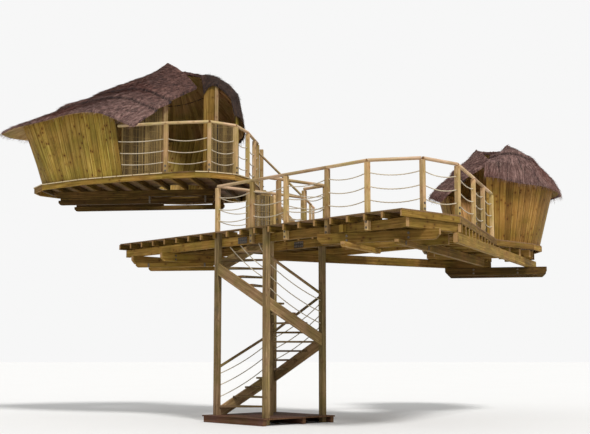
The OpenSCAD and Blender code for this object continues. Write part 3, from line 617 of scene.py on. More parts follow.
# Geometry Nodes: the same graph, with named inputs, and a mesh taken from it
class Growth(Graph):
    def __init__(self, name, **inputs):
        super().__init__(bpy.data.node_groups.new(name, "GeometryNodeTree"))
        for label, kind in {"Geometry": "Geometry", **inputs}.items():
            self.graph.interface.new_socket(label, in_out="INPUT", socket_type="NodeSocket" + kind)
        self.graph.interface.new_socket("Geometry", in_out="OUTPUT", socket_type="NodeSocketGeometry")

    def inputs(self):
        given = self.graph.nodes.new("NodeGroupInput")
        return [Wire(self, socket) for socket in given.outputs[:-1]]

    def vector(self, operation, *values, output=0):
        return self.add("ShaderNodeVectorMath", {"operation": operation}, list(values), output)

    def stretch(self, vector, by):
        return self.add("ShaderNodeVectorMath", {"operation": "SCALE"}, {0: vector, 3: by})

    def keep(self, geometry, name, value, kind="FLOAT"):
        inputs = {"Geometry": geometry, "Name": name, "Value": value}
        return self.add("GeometryNodeStoreNamedAttribute", {"data_type": kind, "domain": "POINT"}, inputs)

    def recall(self, name, kind="FLOAT"):
        return self.add("GeometryNodeInputNamedAttribute", {"data_type": kind}, {"Name": name})

    def gather(self, kind, settings, label, *wires):
        gathered = self.add(kind, settings)
        for wire in wires:
            self.link(wire, gathered.socket.node.inputs[label])
        return gathered

    def copies(self, points, shape, **more):
        return self.add("GeometryNodeInstanceOnPoints", {}, {"Points": points, "Instance": shape, **more})

    def real(self, geometry):
        return self.add("GeometryNodeRealizeInstances", {}, [geometry])

    def moved(self, geometry, position):
        return self.add("GeometryNodeSetPosition", {}, {"Geometry": geometry, "Position": position})

    def facing(self, way):
        return self.add("FunctionNodeAlignRotationToVector", {"axis": "Z"}, {"Vector": way})

    def end(self, geometry, finish):
        inputs = {"Geometry": self.real(geometry), "Material": finishes[finish]}
        done = self.add("GeometryNodeSetMaterial", {}, inputs)
        self.link(done, self.graph.nodes.new("NodeGroupOutput").inputs[0])
        return self


def grow(growth, mesh, name, **values):
    holder = addObject(name + "Source", mesh)
    modifier = holder.modifiers.new("grow", "NODES")
    modifier.node_group = growth.graph
    for item in growth.graph.interface.items_tree:
        if item.in_out == "INPUT" and item.name in values:
            modifier[item.identifier] = values[item.name]
    depsgraph = bpy.context.evaluated_depsgraph_get()
    evaluated = holder.evaluated_get(depsgraph)
    made = bpy.data.meshes.new_from_object(evaluated, preserve_all_data_layers=True, depsgraph=depsgraph)
    made.name = name
    bpy.data.objects.remove(holder)
    return made


# Deck boards: a row of boards cut to the deck's own outline and holes
deckBoard = {"pitch": 0.125, "gap": 0.007, "height": 0.4, "ease": 0.003, "finish": "boards"}
decks = {
    "ground_deck": {"turn": 0, "pitch": 0.118, "gap": 0.008, "finish": "underfoot"},
    "mid_deck": {"turn": 0}, "walkway_deck": {"turn": 28.8},
    "upper_deck": {"turn": 40, "finish": "paleEnds"}, "end_deck": {"turn": 126},
}


def deckGrowth():
    g = Growth("deckBoards", pitch="Float", gap="Float", turn="Float", count="Int", length="Float", height="Float",
               centre="Vector")
    geometry, pitch, gap, turn, count, length, height, centre = g.inputs()
    steps = {"Count": count, "Start Location": g.xyz(0, pitch * count * -0.5, 0), "Offset": g.xyz(0, pitch, 0)}
    line = g.add("GeometryNodeMeshLine", {"mode": "OFFSET"}, steps)
    board = g.add("GeometryNodeMeshCube", {}, {"Size": g.xyz(length, pitch - gap, height)})
    inputs = {"Geometry": g.real(g.copies(line, board)), "Translation": centre, "Rotation": g.xyz(0, 0, turn)}
    placed = g.add("GeometryNodeTransform", {}, inputs)
    cut = g.gather("GeometryNodeMeshBoolean", {"operation": "INTERSECT"}, "Mesh 2", geometry, placed)
    return g.end(cut, "boards")


def makeDecks():
    growth = deckGrowth()
    for number, (node, changes) in enumerate(decks.items(), seeds["decks"]):
        deck = {**deckBoard, **changes}
        low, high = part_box(node)
        centre, reach, turn = (low + high) / 2, (high - low).length, math.radians(deck["turn"])
        along, across = Vector((math.cos(turn), math.sin(turn), 0)), Vector((-math.sin(turn), math.cos(turn), 0))
        count = int(reach / deck["pitch"]) + 2

        # which board of the row, and how far along it, because the cut gives the boards in any order
        def order(group):
            offset = heartOf(group) - centre
            return round(offset.dot(across) / deck["pitch"] + count / 2), offset.dot(along)

        bm = cadCopy(node)
        bmesh.ops.triangulate(bm, faces=bm.faces)
        values = {**deck, "turn": turn, "count": count, "length": reach + 1, "centre": centre}
        bm = cleaned(grow(growth, toMesh(bm, node + "_source"), node + "Boards", **values), 1e-5)
        softEdges(bm, deck["ease"])
        markGrain(bm, number, along=along, order=order)
        piece = place(titled(node) + "Boards", toMesh(bm, node + "_boards"), deck["finish"], slotOf[node], node)
        print(node, "boards:", len(piece.data.polygons), "faces")


makeDecks()


# The roofs, in metres about each collar's axis; the same tables as the built shells
leftRoof = {
    "centre": (-4.15, 0.92), "turn": 40, "deck": 5.5, "angles": (10, 254), "collarAngles": (27, 320),
    "eaveR": [1.22, 1.48, 1.7, 2.06, 2.23, 2.25, 2.25, 2.28, 2.4, 2.64, 3.00, 3.68, 4.42, 3.37, 2.96, 2.69, 2.34],
    "eaveZ": [1.8, 1.74, 1.6, 1.46, 1.34, 1.27, 1.25, 1.25, 1.25, 1.25, 1.25, 1.23, 1.22, 1.4, 1.45, 1.37, 1.04],
    "footR": [1.2, 1.37, 1.54, 1.69, 1.74, 1.74, 1.75, 1.8, 1.93, 2.35, 2.8, 3.38, 3.39, 2.83, 2.465, 2.24, 2.17],
    "collarR": 0.48, "collarTop": 2.95,
    "collarDrop": [0.6, 0.17, 0.08, 0.02, -0.01, -0.01, 0, 0, -0.01, -0.03, -0.04, -0.01, 0.07, 0.17, 0.29, 0.44, 0.57],
    "bulge": [0.16, 0.36, 0.58, 0.85, 1, 1.05, 1.05, 0.98, 0.92], "steps": 48,
    "hump": [0.26, 0.12, 0.08, 0.03] + [0] * 13, "hoodEnd": 0.3, "liningFrom": 0.004, "seed": 1,
    "courses": [
        ("roof_lower_course", [(0, 0), (0.12, 0), (0.23, 0), (0.32, 0), (0.36, 0)]),
        ("roof_middle_course", [(0.32, 1), (0.36, 1), (0.46, 0.5), (0.54, 0.16), (0.58, 0)]),
        ("roof_upper_course", [(0.54, 1.16), (0.58, 1), (0.72, 0.6), (0.86, 0.3), (1, 0)]),
    ],
}
endRoof = {
    "centre": (0.22, 7.53), "turn": 0, "deck": 4.13, "angles": (-62, 247), "collarAngles": (-40, 300),
    "eaveR": [1.48, 1.56, 1.65, 1.65, 1.65, 1.65, 1.65, 1.65, 1.65, 1.65, 1.62, 1.5],
    "eaveZ": [1.6, 1.43, 1.36, 1.3, 1.28, 1.27, 1.27, 1.27, 1.28, 1.3, 1.33, 1.1],
    "footR": [1.2, 1.18, 1.12, 1.11, 1.11, 1.12, 1.13, 1.13, 1.13, 1.13, 1.1, 1.08],
    "collarR": 0.44, "collarTop": 2.5, "collarDrop": [0.3, 0, 0, 0, 0, 0, 0, 0, 0, 0.06, 0.18, 0.38],
    "bulge": [0.3, 0.6, 0.8, 0.85, 0.85, 0.85], "steps": 36, "hump": [0] * 12, "hoodEnd": 0, "liningFrom": 0.03,
    "seed": 5,
    "courses": [
        ("end_roof_lower", [(0, 0), (0.12, 0), (0.28, 0), (0.42, 0), (0.48, 0)]),
        ("end_roof_upper", [(0.42, 1), (0.48, 1), (0.65, 0.6), (0.82, 0.3), (1, 0)]),
    ],
}
for roof in (leftRoof, endRoof):
    roof["rows"] = sorted({row for node, rows in roof["courses"] for row, raised in rows})
midHeight = endRoof["deck"]
upright = Vector((0, 0, 1))


def between(a, b, t):
    return a + (b - a) * t


def held(value):
    return max(0.0, min(1.0, value))


def curveAt(table, f):
    n = len(table) - 1
    x = f * n
    i = min(int(math.floor(x)), n - 1)
    t = x - i
    a, b, c, d = table[max(i - 1, 0)], table[i], table[i + 1], table[min(i + 2, n)]
    return 0.5 * (2 * b + (c - a) * t + (2 * a - 5 * b + 4 * c - d) * t * t + (3 * b - a - 3 * c + d) * t ** 3)


def localPoint(r, f, t):
    e, c = math.radians(between(*r["angles"], f)), math.radians(between(*r["collarAngles"], f))
    eave, low = curveAt(r["eaveR"], f), curveAt(r["eaveZ"], f)
    x = between(eave * math.cos(e), r["collarR"] * math.cos(c), t)
    y = between(eave * math.sin(e), r["collarR"] * math.sin(c), t)
    climb = r["collarTop"] - curveAt(r["collarDrop"], f) - low
    hump = curveAt(r["hump"], f) * 6.75 * t * t * (1 - t)
    return Vector((x, y, low + climb * max(t, 0) ** curveAt(r["bulge"], f) + hump))


def toWorld(r, p):
    a = math.radians(r["turn"])
    x, y = p.x * math.cos(a) - p.y * math.sin(a), p.x * math.sin(a) + p.y * math.cos(a)
    return Vector((r["centre"][0] + x, r["centre"][1] + y, r["deck"] + p.z))


builtPoints = {}


def builtPoint(r, i, row):
    key = (r["deck"], i, row)
    if key not in builtPoints:
        builtPoints[key] = localPoint(r, i / r["steps"], row)
    return builtPoints[key]


# Straight between the built stations and rows, as the shells are
def stationPoint(r, f, t, lift=0.0):
    k, rows = f * r["steps"], r["rows"]
    i = min(int(k), r["steps"] - 1)
    n = max(0, min(sum(row < t for row in rows) - 1, len(rows) - 2))
    ends = [builtPoint(r, i, row).lerp(builtPoint(r, i + 1, row), k - i) for row in rows[n:n + 2]]
    return ends[0].lerp(ends[1], (t - rows[n]) / (rows[n + 1] - rows[n])) + upright * lift


def roundLength(r, t, steps=60):
    points = [stationPoint(r, i / steps, t) for i in range(steps + 1)]
    return sum((b - a).length for a, b in zip(points, points[1:]))


def rowLift(rows, t):
    for (t0, l0), (t1, l1) in zip(rows, rows[1:]):
        if t <= t1:
            return between(l0, l1, (t - t0) / (t1 - t0))
    return rows[-1][1]


# Closes two grids of points, outer and inner, into one skin
def shellMesh(name, grid, back):
    rows, cols = len(grid), len(grid[0])
    points = [p for row in grid + back for p in row]
    at = lambda i, j: i * cols + j
    under = lambda i, j: rows * cols + i * cols + j
    faces = []
    for i in range(rows - 1):
        for j in range(cols - 1):
            faces.append((at(i, j), at(i + 1, j), at(i + 1, j + 1), at(i, j + 1)))
            faces.append((under(i, j), under(i, j + 1), under(i + 1, j + 1), under(i + 1, j)))
    for i in range(rows - 1):
        faces.append((at(i, 0), under(i, 0), under(i + 1, 0), at(i + 1, 0)))
        faces.append((at(i, cols - 1), at(i + 1, cols - 1), under(i + 1, cols - 1), under(i, cols - 1)))
    for j in range(cols - 1):
        faces.append((at(0, j), at(0, j + 1), under(0, j + 1), under(0, j)))
        faces.append((at(rows - 1, j), under(rows - 1, j), under(rows - 1, j + 1), at(rows - 1, j + 1)))
    return outward(meshOf(name, points, faces))


# Waves are pairs or triples of height, waves to a metre and where in the noise they lie
covering = {
    "course": 0.065, "cell": 0.032, "smooth": 50, "low": 0.2, "hoodShare": 0.4,
    "ragged": ((0.03, 1.3, 0), (0.016, 6, 5), (0.012, 19, 8)), "eaveRagged": 0.3, "eaveOut": 0.003,
    "rough": 0.026, "waves": ((1, 2.2), (0.6, 7), (0.4, 16)), "waveSize": 1.7, "dip": 0.1,
    # the lip's darkening and the shadow strip are painted shade at each course's lower edge and just under the next
    # course's edge
    "lip": 0.45, "lipDepth": 0.05, "lipDark": (0.2, 0.75), "shadow": 0.03,
    "density": 950.0, "strandLength": 0.17, "strandWidth": 0.0085, "strandSeed": 3,
}
lining = {
    "thickness": 0.016, "under": 0.002, "over": 0.001, "board": 0.15, "gap": 0.02, "inset": 0.007, "top": 0.985,
    "steps": 18, "hoodSetBack": 0.03, "hoodPaintedLight": 1.15, "drop": 0.002, "shift": 20, "member": 50,
}


def thatchCourse(r, rows, seed, following):
    c = covering
    t0, t1 = rows[0][0], rows[-1][0]
    isEave = t0 == 0
    around, upward = roundLength(r, t0), (stationPoint(r, 0.5, t1) - stationPoint(r, 0.5, t0)).length
    nf, nt = int(around / c["cell"]), max(6, int(upward / c["cell"]) + 2)
    base = lining["thickness"] + lining["over"] if isEave else 0.0
    outer, inner, slope, courseShade = [], [], [], []
    for i in range(nf + 1):
        f = i / nf
        outer.append([])
        inner.append([])
        ragged = sum(high * noise.noise(Vector((f * around * fine, seed, at))) for high, fine, at in c["ragged"])
        if isEave:
            ragged = max(-c["eaveOut"], c["eaveRagged"] * ragged)
        raised = 1.0
        if r["hoodEnd"]:
            flat = r["hoodEnd"] * c["hoodShare"]
            raised = between(c["low"], 1, held((f - flat) / (r["hoodEnd"] - flat)))
        for j in range(nt + 1):
            s = j / nt
            t = between(t0, t1, s)
            lift = rowLift(rows, t) * c["course"] * raised
            lip = c["lip"] * c["course"] * max(0.0, 1 - s * upward / c["lipDepth"]) ** 2
            edge = t + ragged * (1 - s) ** 3
            high = stationPoint(r, f, edge, lift + c["course"] - lip)
            if 0 < i < nf and j > 0:
                q = Vector((f * around, s * upward, 0)) * c["waveSize"] + upright * seed
                rough = c["rough"] * sum(part * noise.noise(q * fine) for part, fine in c["waves"])
                high.z += max(rough, -c["dip"] * c["rough"])
            inner[i].append(toWorld(r, stationPoint(r, f, edge, lift + base)))
            outer[i].append(toWorld(r, high))
            slope.append((f * around + seed * 3.1, s * upward + seed, 0.0))
            # painted shade: the lip row, and the part of the course under and just below the next course
            gap = (following - t) * upward / (t1 - t0)
            shadow = held(1 - gap / c["shadow"]) if following < 1 else 0.0
            courseShade.append(max(c["lipDark"][not isEave], shadow) if j == 0 else shadow)
    mesh = shellMesh("thatch%d" % seed, outer, inner)
    down = [(row[max(j - 1, 0)] - row[min(j + 1, nt)]).normalized() for row in outer for j in range(nt + 1)]
    pointVectors(mesh, "slope", slope * 2)
    pointValues(mesh, "seam", courseShade * 2)
    pointVectors(mesh, "down", down * 2)
    pointValues(mesh, "top", [1.0] * len(down) + [0.0] * len(down))
    return smoothed(mesh, c["smooth"]), around, upward


# Loose strands lying down the slope, on the surface and over each lower edge
def strandGrowth():
    g = Growth("roofStrands", density="Float", strandLength="Float", strandWidth="Float", seed="Int")
    geometry, density, length, width, seed = g.inputs()
    above = {"data_type": "FLOAT", "operation": "GREATER_THAN"}
    inputs = {"Mesh": geometry, "Density": density, "Seed": seed,
              "Selection": g.add("FunctionNodeCompare", above, [g.recall("top"), 0.9])}
    spread = g.add("GeometryNodeDistributePointsOnFaces", {"distribute_method": "RANDOM"}, inputs)
    spans = {"Min": (-0.25, -0.25, -0.04), "Max": (0.25, 0.25, 0.2), "Seed": seed}
    loose = g.add("FunctionNodeRandomValue", {"data_type": "FLOAT_VECTOR"}, spans)
    turn = g.facing(g.vector("ADD", g.recall("down", "FLOAT_VECTOR"), loose))
    shape = {"Vertices": 3, "Side Segments": 1, "Radius Top": 0.2, "Radius Bottom": 1.0, "Depth": 1.0}
    strand = g.add("GeometryNodeMeshCone", {"fill_type": "NGON"}, shape)
    pick = g.add("FunctionNodeRandomValue", {"data_type": "FLOAT"}, {2: 0.4, 3: 1.0, "Seed": 7}, 1)
    size = g.xyz(width * 0.5, width * 0.2, pick * length)
    numbered = g.keep(spread, "strand", g.add("GeometryNodeInputIndex"))
    return g.end(g.copies(numbered, strand, Rotation=turn, Scale=size), "strands")


# Boards under the covering, from the eave up to the collar
def liningBoards(r, name, seed):
    c, hooded = lining, bool(r["hoodEnd"])
    count, steps = int(roundLength(r, 0.05) / c["board"]), c["steps"]
    bm = bmesh.new()
    grain = bm.loops.layers.float_vector.new("grain")
    member, cut, inner = [bm.faces.layers.float.new(label) for label in ("member", "cutEnd", "inner")]
    rng = random.Random(seed)
    for b in range(count):
        # the covering laps the open ends
        f0, f1 = max((b + c["gap"]) / count, c["inset"]), min((b + 1 - c["gap"]) / count, 1 - c["inset"])
        under = c["under"] + rng.uniform(0, c["drop"])
        shift, number = rng.uniform(0, c["shift"]), rng.uniform(0, c["member"])
        low = r["liningFrom"] + (c["hoodSetBack"] * max(0.0, 1 - 3 * f0) if hooded else 0.0)
        rings = []
        for s in range(steps + 1):
            t = between(low, c["top"], (s / steps) ** 2)
            corners = (f0, under), (f1, under), (f1, c["thickness"]), (f0, c["thickness"])
            rings.append([bm.verts.new(toWorld(r, stationPoint(r, f, t, lift))) for f, lift in corners])
        faces = [bm.faces.new(rings[0][::-1]), bm.faces.new(rings[-1])]
        for here, above in zip(rings, rings[1:]):
            for q in range(4):
                n = (q + 1) % 4
                faces.append(bm.faces.new((here[q], here[n], above[n], above[q])))
        up = (rings[-1][0].co - rings[0][0].co).normalized()
        side = (rings[0][1].co - rings[0][0].co).normalized()
        for face in faces:
            face[member], face[cut] = number, 0.0
            # painted light: lining boards nearest the hood are marked to be made paler
            face[inner] = max(0.0, c["hoodPaintedLight"] - 2 * f0) if hooded else 0.0
            for loop in face.loops:
                p = loop.vert.co
                loop[grain] = Vector((p.dot(up) + shift, p.dot(side) + shift, shift))
    bmesh.ops.recalc_face_normals(bm, faces=bm.faces)
    return toMesh(bm, name)


def makeRoofs():
    growth = strandGrowth()
    for label, r in (("left", leftRoof), ("end", endRoof)):
        starts = [rows[0][0] for node, rows in r["courses"]] + [2]
        for number, (node, rows) in enumerate(r["courses"]):
            mesh, around, rise = thatchCourse(r, rows, number + r["seed"], starts[number + 1])
            name = titled(node)
            seed = number + covering["strandSeed"]
            strands = grow(growth, mesh, name + "Strands", seed=seed, **covering)
            place(name + "Covering", mesh, "thatch", "roofing", node)
            place(name + "Strands", strands, None, "roofing")
            triangles = len(mesh.polygons) * 2, len(strands.polygons) * 2
            print(node, "%.2f m round, %.2f m up the slope, %d + %d triangles" % (around, rise, *triangles))
        place(label + "RoofLining", liningBoards(r, label + "_lining", seeds["linings"]), "lining", "cladding")


makeRoofs()


# Upright pieces between a line along the floor and a line under the roof
def fillGrowth(stalk):
    g = Growth("uprightStalks" if stalk else "uprightBoards", foot="Object", head="Object", count="Int",
               fill="Float", thickness="Float", wander="Float", seed="Int")
    geometry, foot, head, count, fill, thickness, wander, seed = g.inputs()
    line = g.add("GeometryNodeMeshLine", {"mode": "OFFSET"}, {"Count": count, "Offset": (1.0, 0.0, 0.0)})
    numbered = g.keep(line, "member", g.add("GeometryNodeInputIndex"))
    if stalk:
        sizes = {"Vertices": 5, "Side Segments": 3, "Radius": 0.5, "Depth": 1.0}
        shape = g.add("GeometryNodeMeshCylinder", {}, sizes)
    else:
        shape = g.add("GeometryNodeMeshCube", {}, {"Size": (1.0, 1.0, 1.0), "Vertices Z": 4})
    local = g.keep(shape, "local", g.add("GeometryNodeInputPosition"), "FLOAT_VECTOR")
    real = g.real(g.copies(numbered, local))
    across, deep, up = g.split(g.recall("local", "FLOAT_VECTOR"))
    member = g.recall("member")
    factor = (member + 0.5 + across * fill) / count
    ends = []
    for given in (foot, head):
        mesh = g.add("GeometryNodeObjectInfo", {"transform_space": "ORIGINAL"}, {"Object": given}, "Geometry")
        inputs = {"Curves": g.add("GeometryNodeMeshToCurve", {}, [mesh]), "Factor": factor}
        sample = g.add("GeometryNodeSampleCurve", {"mode": "FACTOR", "use_all_curves": True}, inputs)
        ends.append(g.outputs(sample, "Position", "Tangent"))
    (footAt, footWay), (headAt, headWay) = ends
    rise, level = up + 0.5, deep * thickness
    middle = g.add("ShaderNodeMix", {"data_type": "VECTOR"}, {0: rise, 4: footAt, 5: headAt}, 1)
    out = g.vector("NORMALIZE", g.vector("CROSS_PRODUCT", footWay, (0.0, 0.0, 1.0)))
    spans = {2: -1.0, 3: 1.0, "ID": g.add("FunctionNodeFloatToInt", {}, [member]), "Seed": seed}
    astray = g.add("FunctionNodeRandomValue", {"data_type": "FLOAT"}, spans, 1)
    moved = g.moved(real, g.vector("ADD", middle, g.stretch(out, level + astray * wander)))
    length = g.vector("DISTANCE", footAt, headAt, output=1)
    grain = g.xyz(rise * length + member * 2.3, across * 0.14 + member, level)
    marked = g.keep(moved, "grain", grain, "FLOAT_VECTOR")
    marked = g.keep(marked, "side", across * 2)
    # painted light: the inside face of each board is marked, and the cladding finish paints it paler
    marked = g.keep(marked, "inner", 0.5 - deep)
    return g.end(marked, "reed" if stalk else "cladding")


def fillBetween(growth, name, foot, head, style, seed):
    count = max(3, round(runLength(foot) / style["pitch"]))
    lines = {end: addObject(name + end, pathMesh(name + end, [run])) for end, run in (("foot", foot), ("head", head))}
    mesh = grow(growth, bpy.data.meshes.new(name + "Base"), name, count=count, seed=seed, **lines, **style)
    for line in lines.values():
        bpy.data.objects.remove(line)
    return outward(mesh)


def runLength(run):
    return sum((b - a).length for a, b in zip(run, run[1:]))


# Walls follow the roof they stand under, from one of its stations to another
walls = {
    "cabin_wall_front": {"roof": leftRoof, "from": 32, "to": 46, "rake": 1.3, "finish": "cladding"},
    "cabin_wall_back": {"roof": leftRoof, "from": 2, "to": 32, "rake": 1.3, "finish": "cladding"},
    "end_wall_right": {"roof": endRoof, "from": 0, "to": 16, "rake": 0, "finish": "endCladding"},
    "end_wall_left": {"roof": endRoof, "from": 16, "to": 36, "rake": 0, "finish": "endCladding"},
}
wallTop = {"row": 0.12, "inside": 0.015, "up": 0.005}
cladding = {"pitch": 0.135, "fill": 0.999, "thickness": 0.026, "wander": 0.002}


def footPoint(r, k, inner=0.0):
    a = math.radians(between(*r["angles"], k / r["steps"]))
    radius = curveAt(r["footR"], k / r["steps"]) - inner
    return Vector((radius * math.cos(a), radius * math.sin(a), 0))


def headPoint(r, k, rake, inner=0.0):
    p = stationPoint(r, (k - rake * (k / r["steps"]) ** 8) / r["steps"], wallTop["row"], wallTop["up"])
    share = 1 - inner / math.hypot(p.x, p.y)
    return Vector((p.x * share, p.y * share, p.z))


def makeWalls():
    growth = fillGrowth(False)
    for number, (node, w) in enumerate(walls.items(), seeds["walls"]):
        r, inside, stations = w["roof"], wallTop["inside"], range(w["from"], w["to"] + 1)
        foot = [toWorld(r, footPoint(r, k, inside)) for k in stations]
        head = [toWorld(r, headPoint(r, k, w["rake"], inside)) for k in stations]
        mesh = fillBetween(growth, node + "Cladding", foot, head, cladding, number)
        place(titled(node) + "Cladding", mesh, w["finish"], slotOf[node], node)
    print("walls clad:", len(walls))


makeWalls()

# Ropes: three strands laid together, in arcs from post to post
laid = {"thickness": 0.024, "lay": 0.075, "step": 0.018}
sags = {"deck": 0.06, "wall": 0.03}
railHeights = (0.25, 0.51, 0.78)
railPost = 0.09


def ropeGrowth():
    g = Growth("laidRope", thickness="Float", lay="Float", step="Float")
    geometry, thickness, lay, step = g.inputs()
    curve = g.add("GeometryNodeMeshToCurve", {}, [geometry])
    path = g.add("GeometryNodeResampleCurve", {"mode": "LENGTH"}, {"Curve": curve, "Length": step})
    twist = g.add("GeometryNodeSplineParameter", output="Length") / lay * (2 * math.pi / 3)
    turned = g.add("GeometryNodeSetCurveTilt", {}, {"Curve": path, "Tilt": twist})
    ring = g.add("GeometryNodeCurvePrimitiveCircle", {"mode": "RADIUS"}, {"Resolution": 9, "Radius": 1.0})
    spot = g.add("GeometryNodeInputPosition")
    x, y, z = g.split(spot)
    lobes = (y.sum("ARCTAN2", x) * 3).sum("COSINE") * 0.14 + 0.86
    profile = g.moved(ring, g.stretch(spot, lobes * (thickness * 0.5)))
    tube = g.add("GeometryNodeCurveToMesh", {}, {"Curve": turned, "Profile Curve": profile, "Fill Caps": True})
    return g.end(g.add("GeometryNodeSetShadeSmooth", {}, [tube]), "rope")


def arc(p, q, sag, steps=24):
    p, q = Vector(p), Vector(q)
    d = q - p
    flat = Vector((d.x, d.y, 0))
    level = flat.normalized() * d.z
    down = Vector((level.x, level.y, -flat.length)).normalized()
    radius = (d.length ** 2 / 4 + sag ** 2) / (2 * sag)
    half = math.asin(d.length / 2 / radius)
    turns = [between(-half, half, i / steps) for i in range(steps + 1)]
    way = d.normalized() * radius
    return [(p + q) / 2 + way * math.sin(a) + down * (radius * math.cos(a) - radius + sag) for a in turns]


def bearing(p, q):
    return math.atan2(q[1] - p[1], q[0] - p[0])


def ropeRuns(posts, turns, toPlace):
    runs = []
    for p, q, turnP, turnQ in zip(posts, posts[1:], turns, turns[1:]):
        b = bearing(p, q)
        x, y = math.cos(b), math.sin(b)
        outP, outQ = [railPost / 2 / max(abs(math.cos(b - t)), abs(math.sin(b - t))) for t in (turnP, turnQ)]
        for h in railHeights:
            ends = (p[0] + x * outP, p[1] + y * outP, h), (q[0] - x * outQ, q[1] - y * outQ, h)
            runs.append(arc(*[toPlace(end) for end in ends], sags["deck"]))
    return runs


# Posts of each railing, in plan; the raised deck's are about its own collar
railY, wellX, innerX = 0.015, -1.665, 0.045
walkTurn = math.radians(118.8)
outerPosts = [(wellX, railY), (-0.48, railY), (0.6, railY), (1.82, railY), (2.92, railY), (3.805, 0.6),
              (3.8, 1.64), (2.95, 3.21), (2.35, 4.3), (1.76, 5.38)]
wellPosts = [(wellX, railY), (wellX, 0.9), (wellX, 1.68), (wellX, 2.6)]
innerPosts = [(innerX, 0.3), (innerX, 1.68), (-0.64, 1.68)]
upperPosts = [(0.1, -2.2), (1.1, -2.23), (1.6, -1.72), (1.74, -0.9), (1.74, 0.03), (1.74, 0.5)]
upperTurns = [bearing(upperPosts[max(i - 1, 0)], upperPosts[min(i + 1, 5)]) for i in range(6)]
# The stair's own ropes: three to a flight, and three more up to the deck's edge, each with its share of the way
stair = {
    "tower": 1.62, "post": 0.12, "rise": 0.199, "treads": 4, "flights": 3, "foot": 0.15,
    "heights": (0.35, 0.6, 0.85), "inset": 0.04,
    "top": ((0.5, 0.85), (0.71, 0.62), (1.000, 0.24)), "topEnd": (0.11, 3.822), "under": 3.801,
}


def stairRuns():
    s = stair
    tower, climb = s["tower"], s["treads"] * s["rise"]
    corners = [Vector(c) for c in ((-tower, 0, 0), (-tower, tower, 0), (0, tower, 0), (0, 0, 0))]
    runs = []
    for flight, (p, q) in enumerate(zip(corners, corners[1:])):
        out = (q - p) / tower * s["post"] / 2
        for h in s["heights"]:
            low = s["foot"] + flight * climb + h
            ends = p + out + upright * (low + s["inset"] * climb), q - out + upright * (low + (1 - s["inset"]) * climb)
            runs.append(arc(*ends, sags["deck"]))
    for h, share in s["top"]:
        start = -s["post"] / 2, 0, s["foot"] + s["flights"] * climb + h
        line = arc(start, (-share * tower, *s["topEnd"]), sags["deck"] * share)
        runs.append([p for p in line if p.z < s["under"]])
    return runs


def upperRuns():
    runs = ropeRuns(upperPosts, upperTurns, lambda p: toWorld(leftRoof, Vector(p)))
    w = walls["cabin_wall_front"]
    head, foot = headPoint(leftRoof, w["to"], w["rake"]), footPoint(leftRoof, w["to"])
    x, y = upperPosts[0]
    for h in railHeights:
        near = foot.lerp(head, h / max(head.z, 0.1))
        ends = Vector((near.x + 0.02, near.y, h)), Vector((x - railPost / 2, y, h))
        runs.append(arc(*[toWorld(leftRoof, end) for end in ends], sags["wall"]))
    return runs


def deckRuns():
    rows = [(outerPosts, [0] * 7 + [walkTurn] * 3)]
    rows += [(posts, [0] * len(posts)) for posts in (wellPosts[:2], wellPosts[2:], innerPosts)]
    return [run for posts, turns in rows for run in ropeRuns(posts, turns, lambda p: Vector(p) + upright * midHeight)]


def makeRopes():
    growth = ropeGrowth()
    for name, runs in (("deck", deckRuns()), ("upper", upperRuns()), ("stair", stairRuns())):
        made = grow(growth, pathMesh(name + "RopePaths", runs), name + "Ropes", **laid)
        place(name + "Ropes", made, None, "rope", name + "_ropes")
        print(name, "ropes:", len(runs), "lengths in metres:", [round(runLength(run), 2) for run in runs])


makeRopes()

# Reed screens: stalks side by side, tied by cords
reeds = {"pitch": 0.0135, "fill": 0.9, "thickness": 0.012, "wander": 0.002, "smooth": 75}
cord = {"thickness": 0.009, "lay": 1.0, "step": 0.3}
ties = {"out": 0.009, "pitch": 0.19}
screens = {
    "cabin": {"stations": (45, 46), "rows": (0.22, 0.598), "topRow": 0.6, "down": 0.05, "points": 6},
    "hood": {"station": 1, "shift": 0.0653, "span": (0.05, 0.8), "height": 1.6},
    "well": {"span": (0.945, 1.635), "height": 0.95},
    "end": {"stations": (0, -2.4), "inside": 0.97, "height": 1.3},
}


def screenLines():
    s, r = screens["cabin"], leftRoof
    (k0, k1), (t0, t1), last = [k / r["steps"] for k in s["stations"]], s["rows"], s["points"]
    a, b = localPoint(r, k0, t0), localPoint(r, k1, t1)
    foot = [Vector((*a.lerp(b, n / last).xy, 0)) for n in range(last + 1)]
    tops = [localPoint(r, k0, between(t0, s["topRow"], n / last)).z - s["down"] for n in range(last + 1)]
    yield [toWorld(r, p) for p in foot], [toWorld(r, p + upright * top) for p, top in zip(foot, tops)]
    s = screens["hood"]
    eave, collar = [Vector((*localPoint(r, s["station"] / r["steps"], t).xy, 0)) for t in (0, 1)]
    inward = (collar - eave).normalized()
    shift = Vector((-inward.y, inward.x, 0)) * s["shift"]
    foot = [toWorld(r, eave.lerp(collar, share) + shift) for share in s["span"]]
    yield foot, [p + upright * s["height"] for p in foot]
    s = screens["well"]
    foot = [Vector((wellX, y, midHeight)) for y in s["span"]]
    yield foot, [p + upright * s["height"] for p in foot]
    s = screens["end"]
    foot = [toWorld(endRoof, footPoint(endRoof, k) * s["inside"]) for k in s["stations"]]
    yield foot, [p + upright * s["height"] for p in foot]


def tieRuns(foot, head):
    out = (foot[-1] - foot[0]).cross(upright).normalized() * ties["out"]
    heights = [(h - f).length for f, h in zip(foot, head)]
    for level in range(1, int(max(heights) / ties["pitch"]) + 1):
        for side in (-1, 1):
            shares = [level * ties["pitch"] / height for height in heights]
            yield [f.lerp(h, share) + out * side for f, h, share in zip(foot, head, shares) if share < 1]


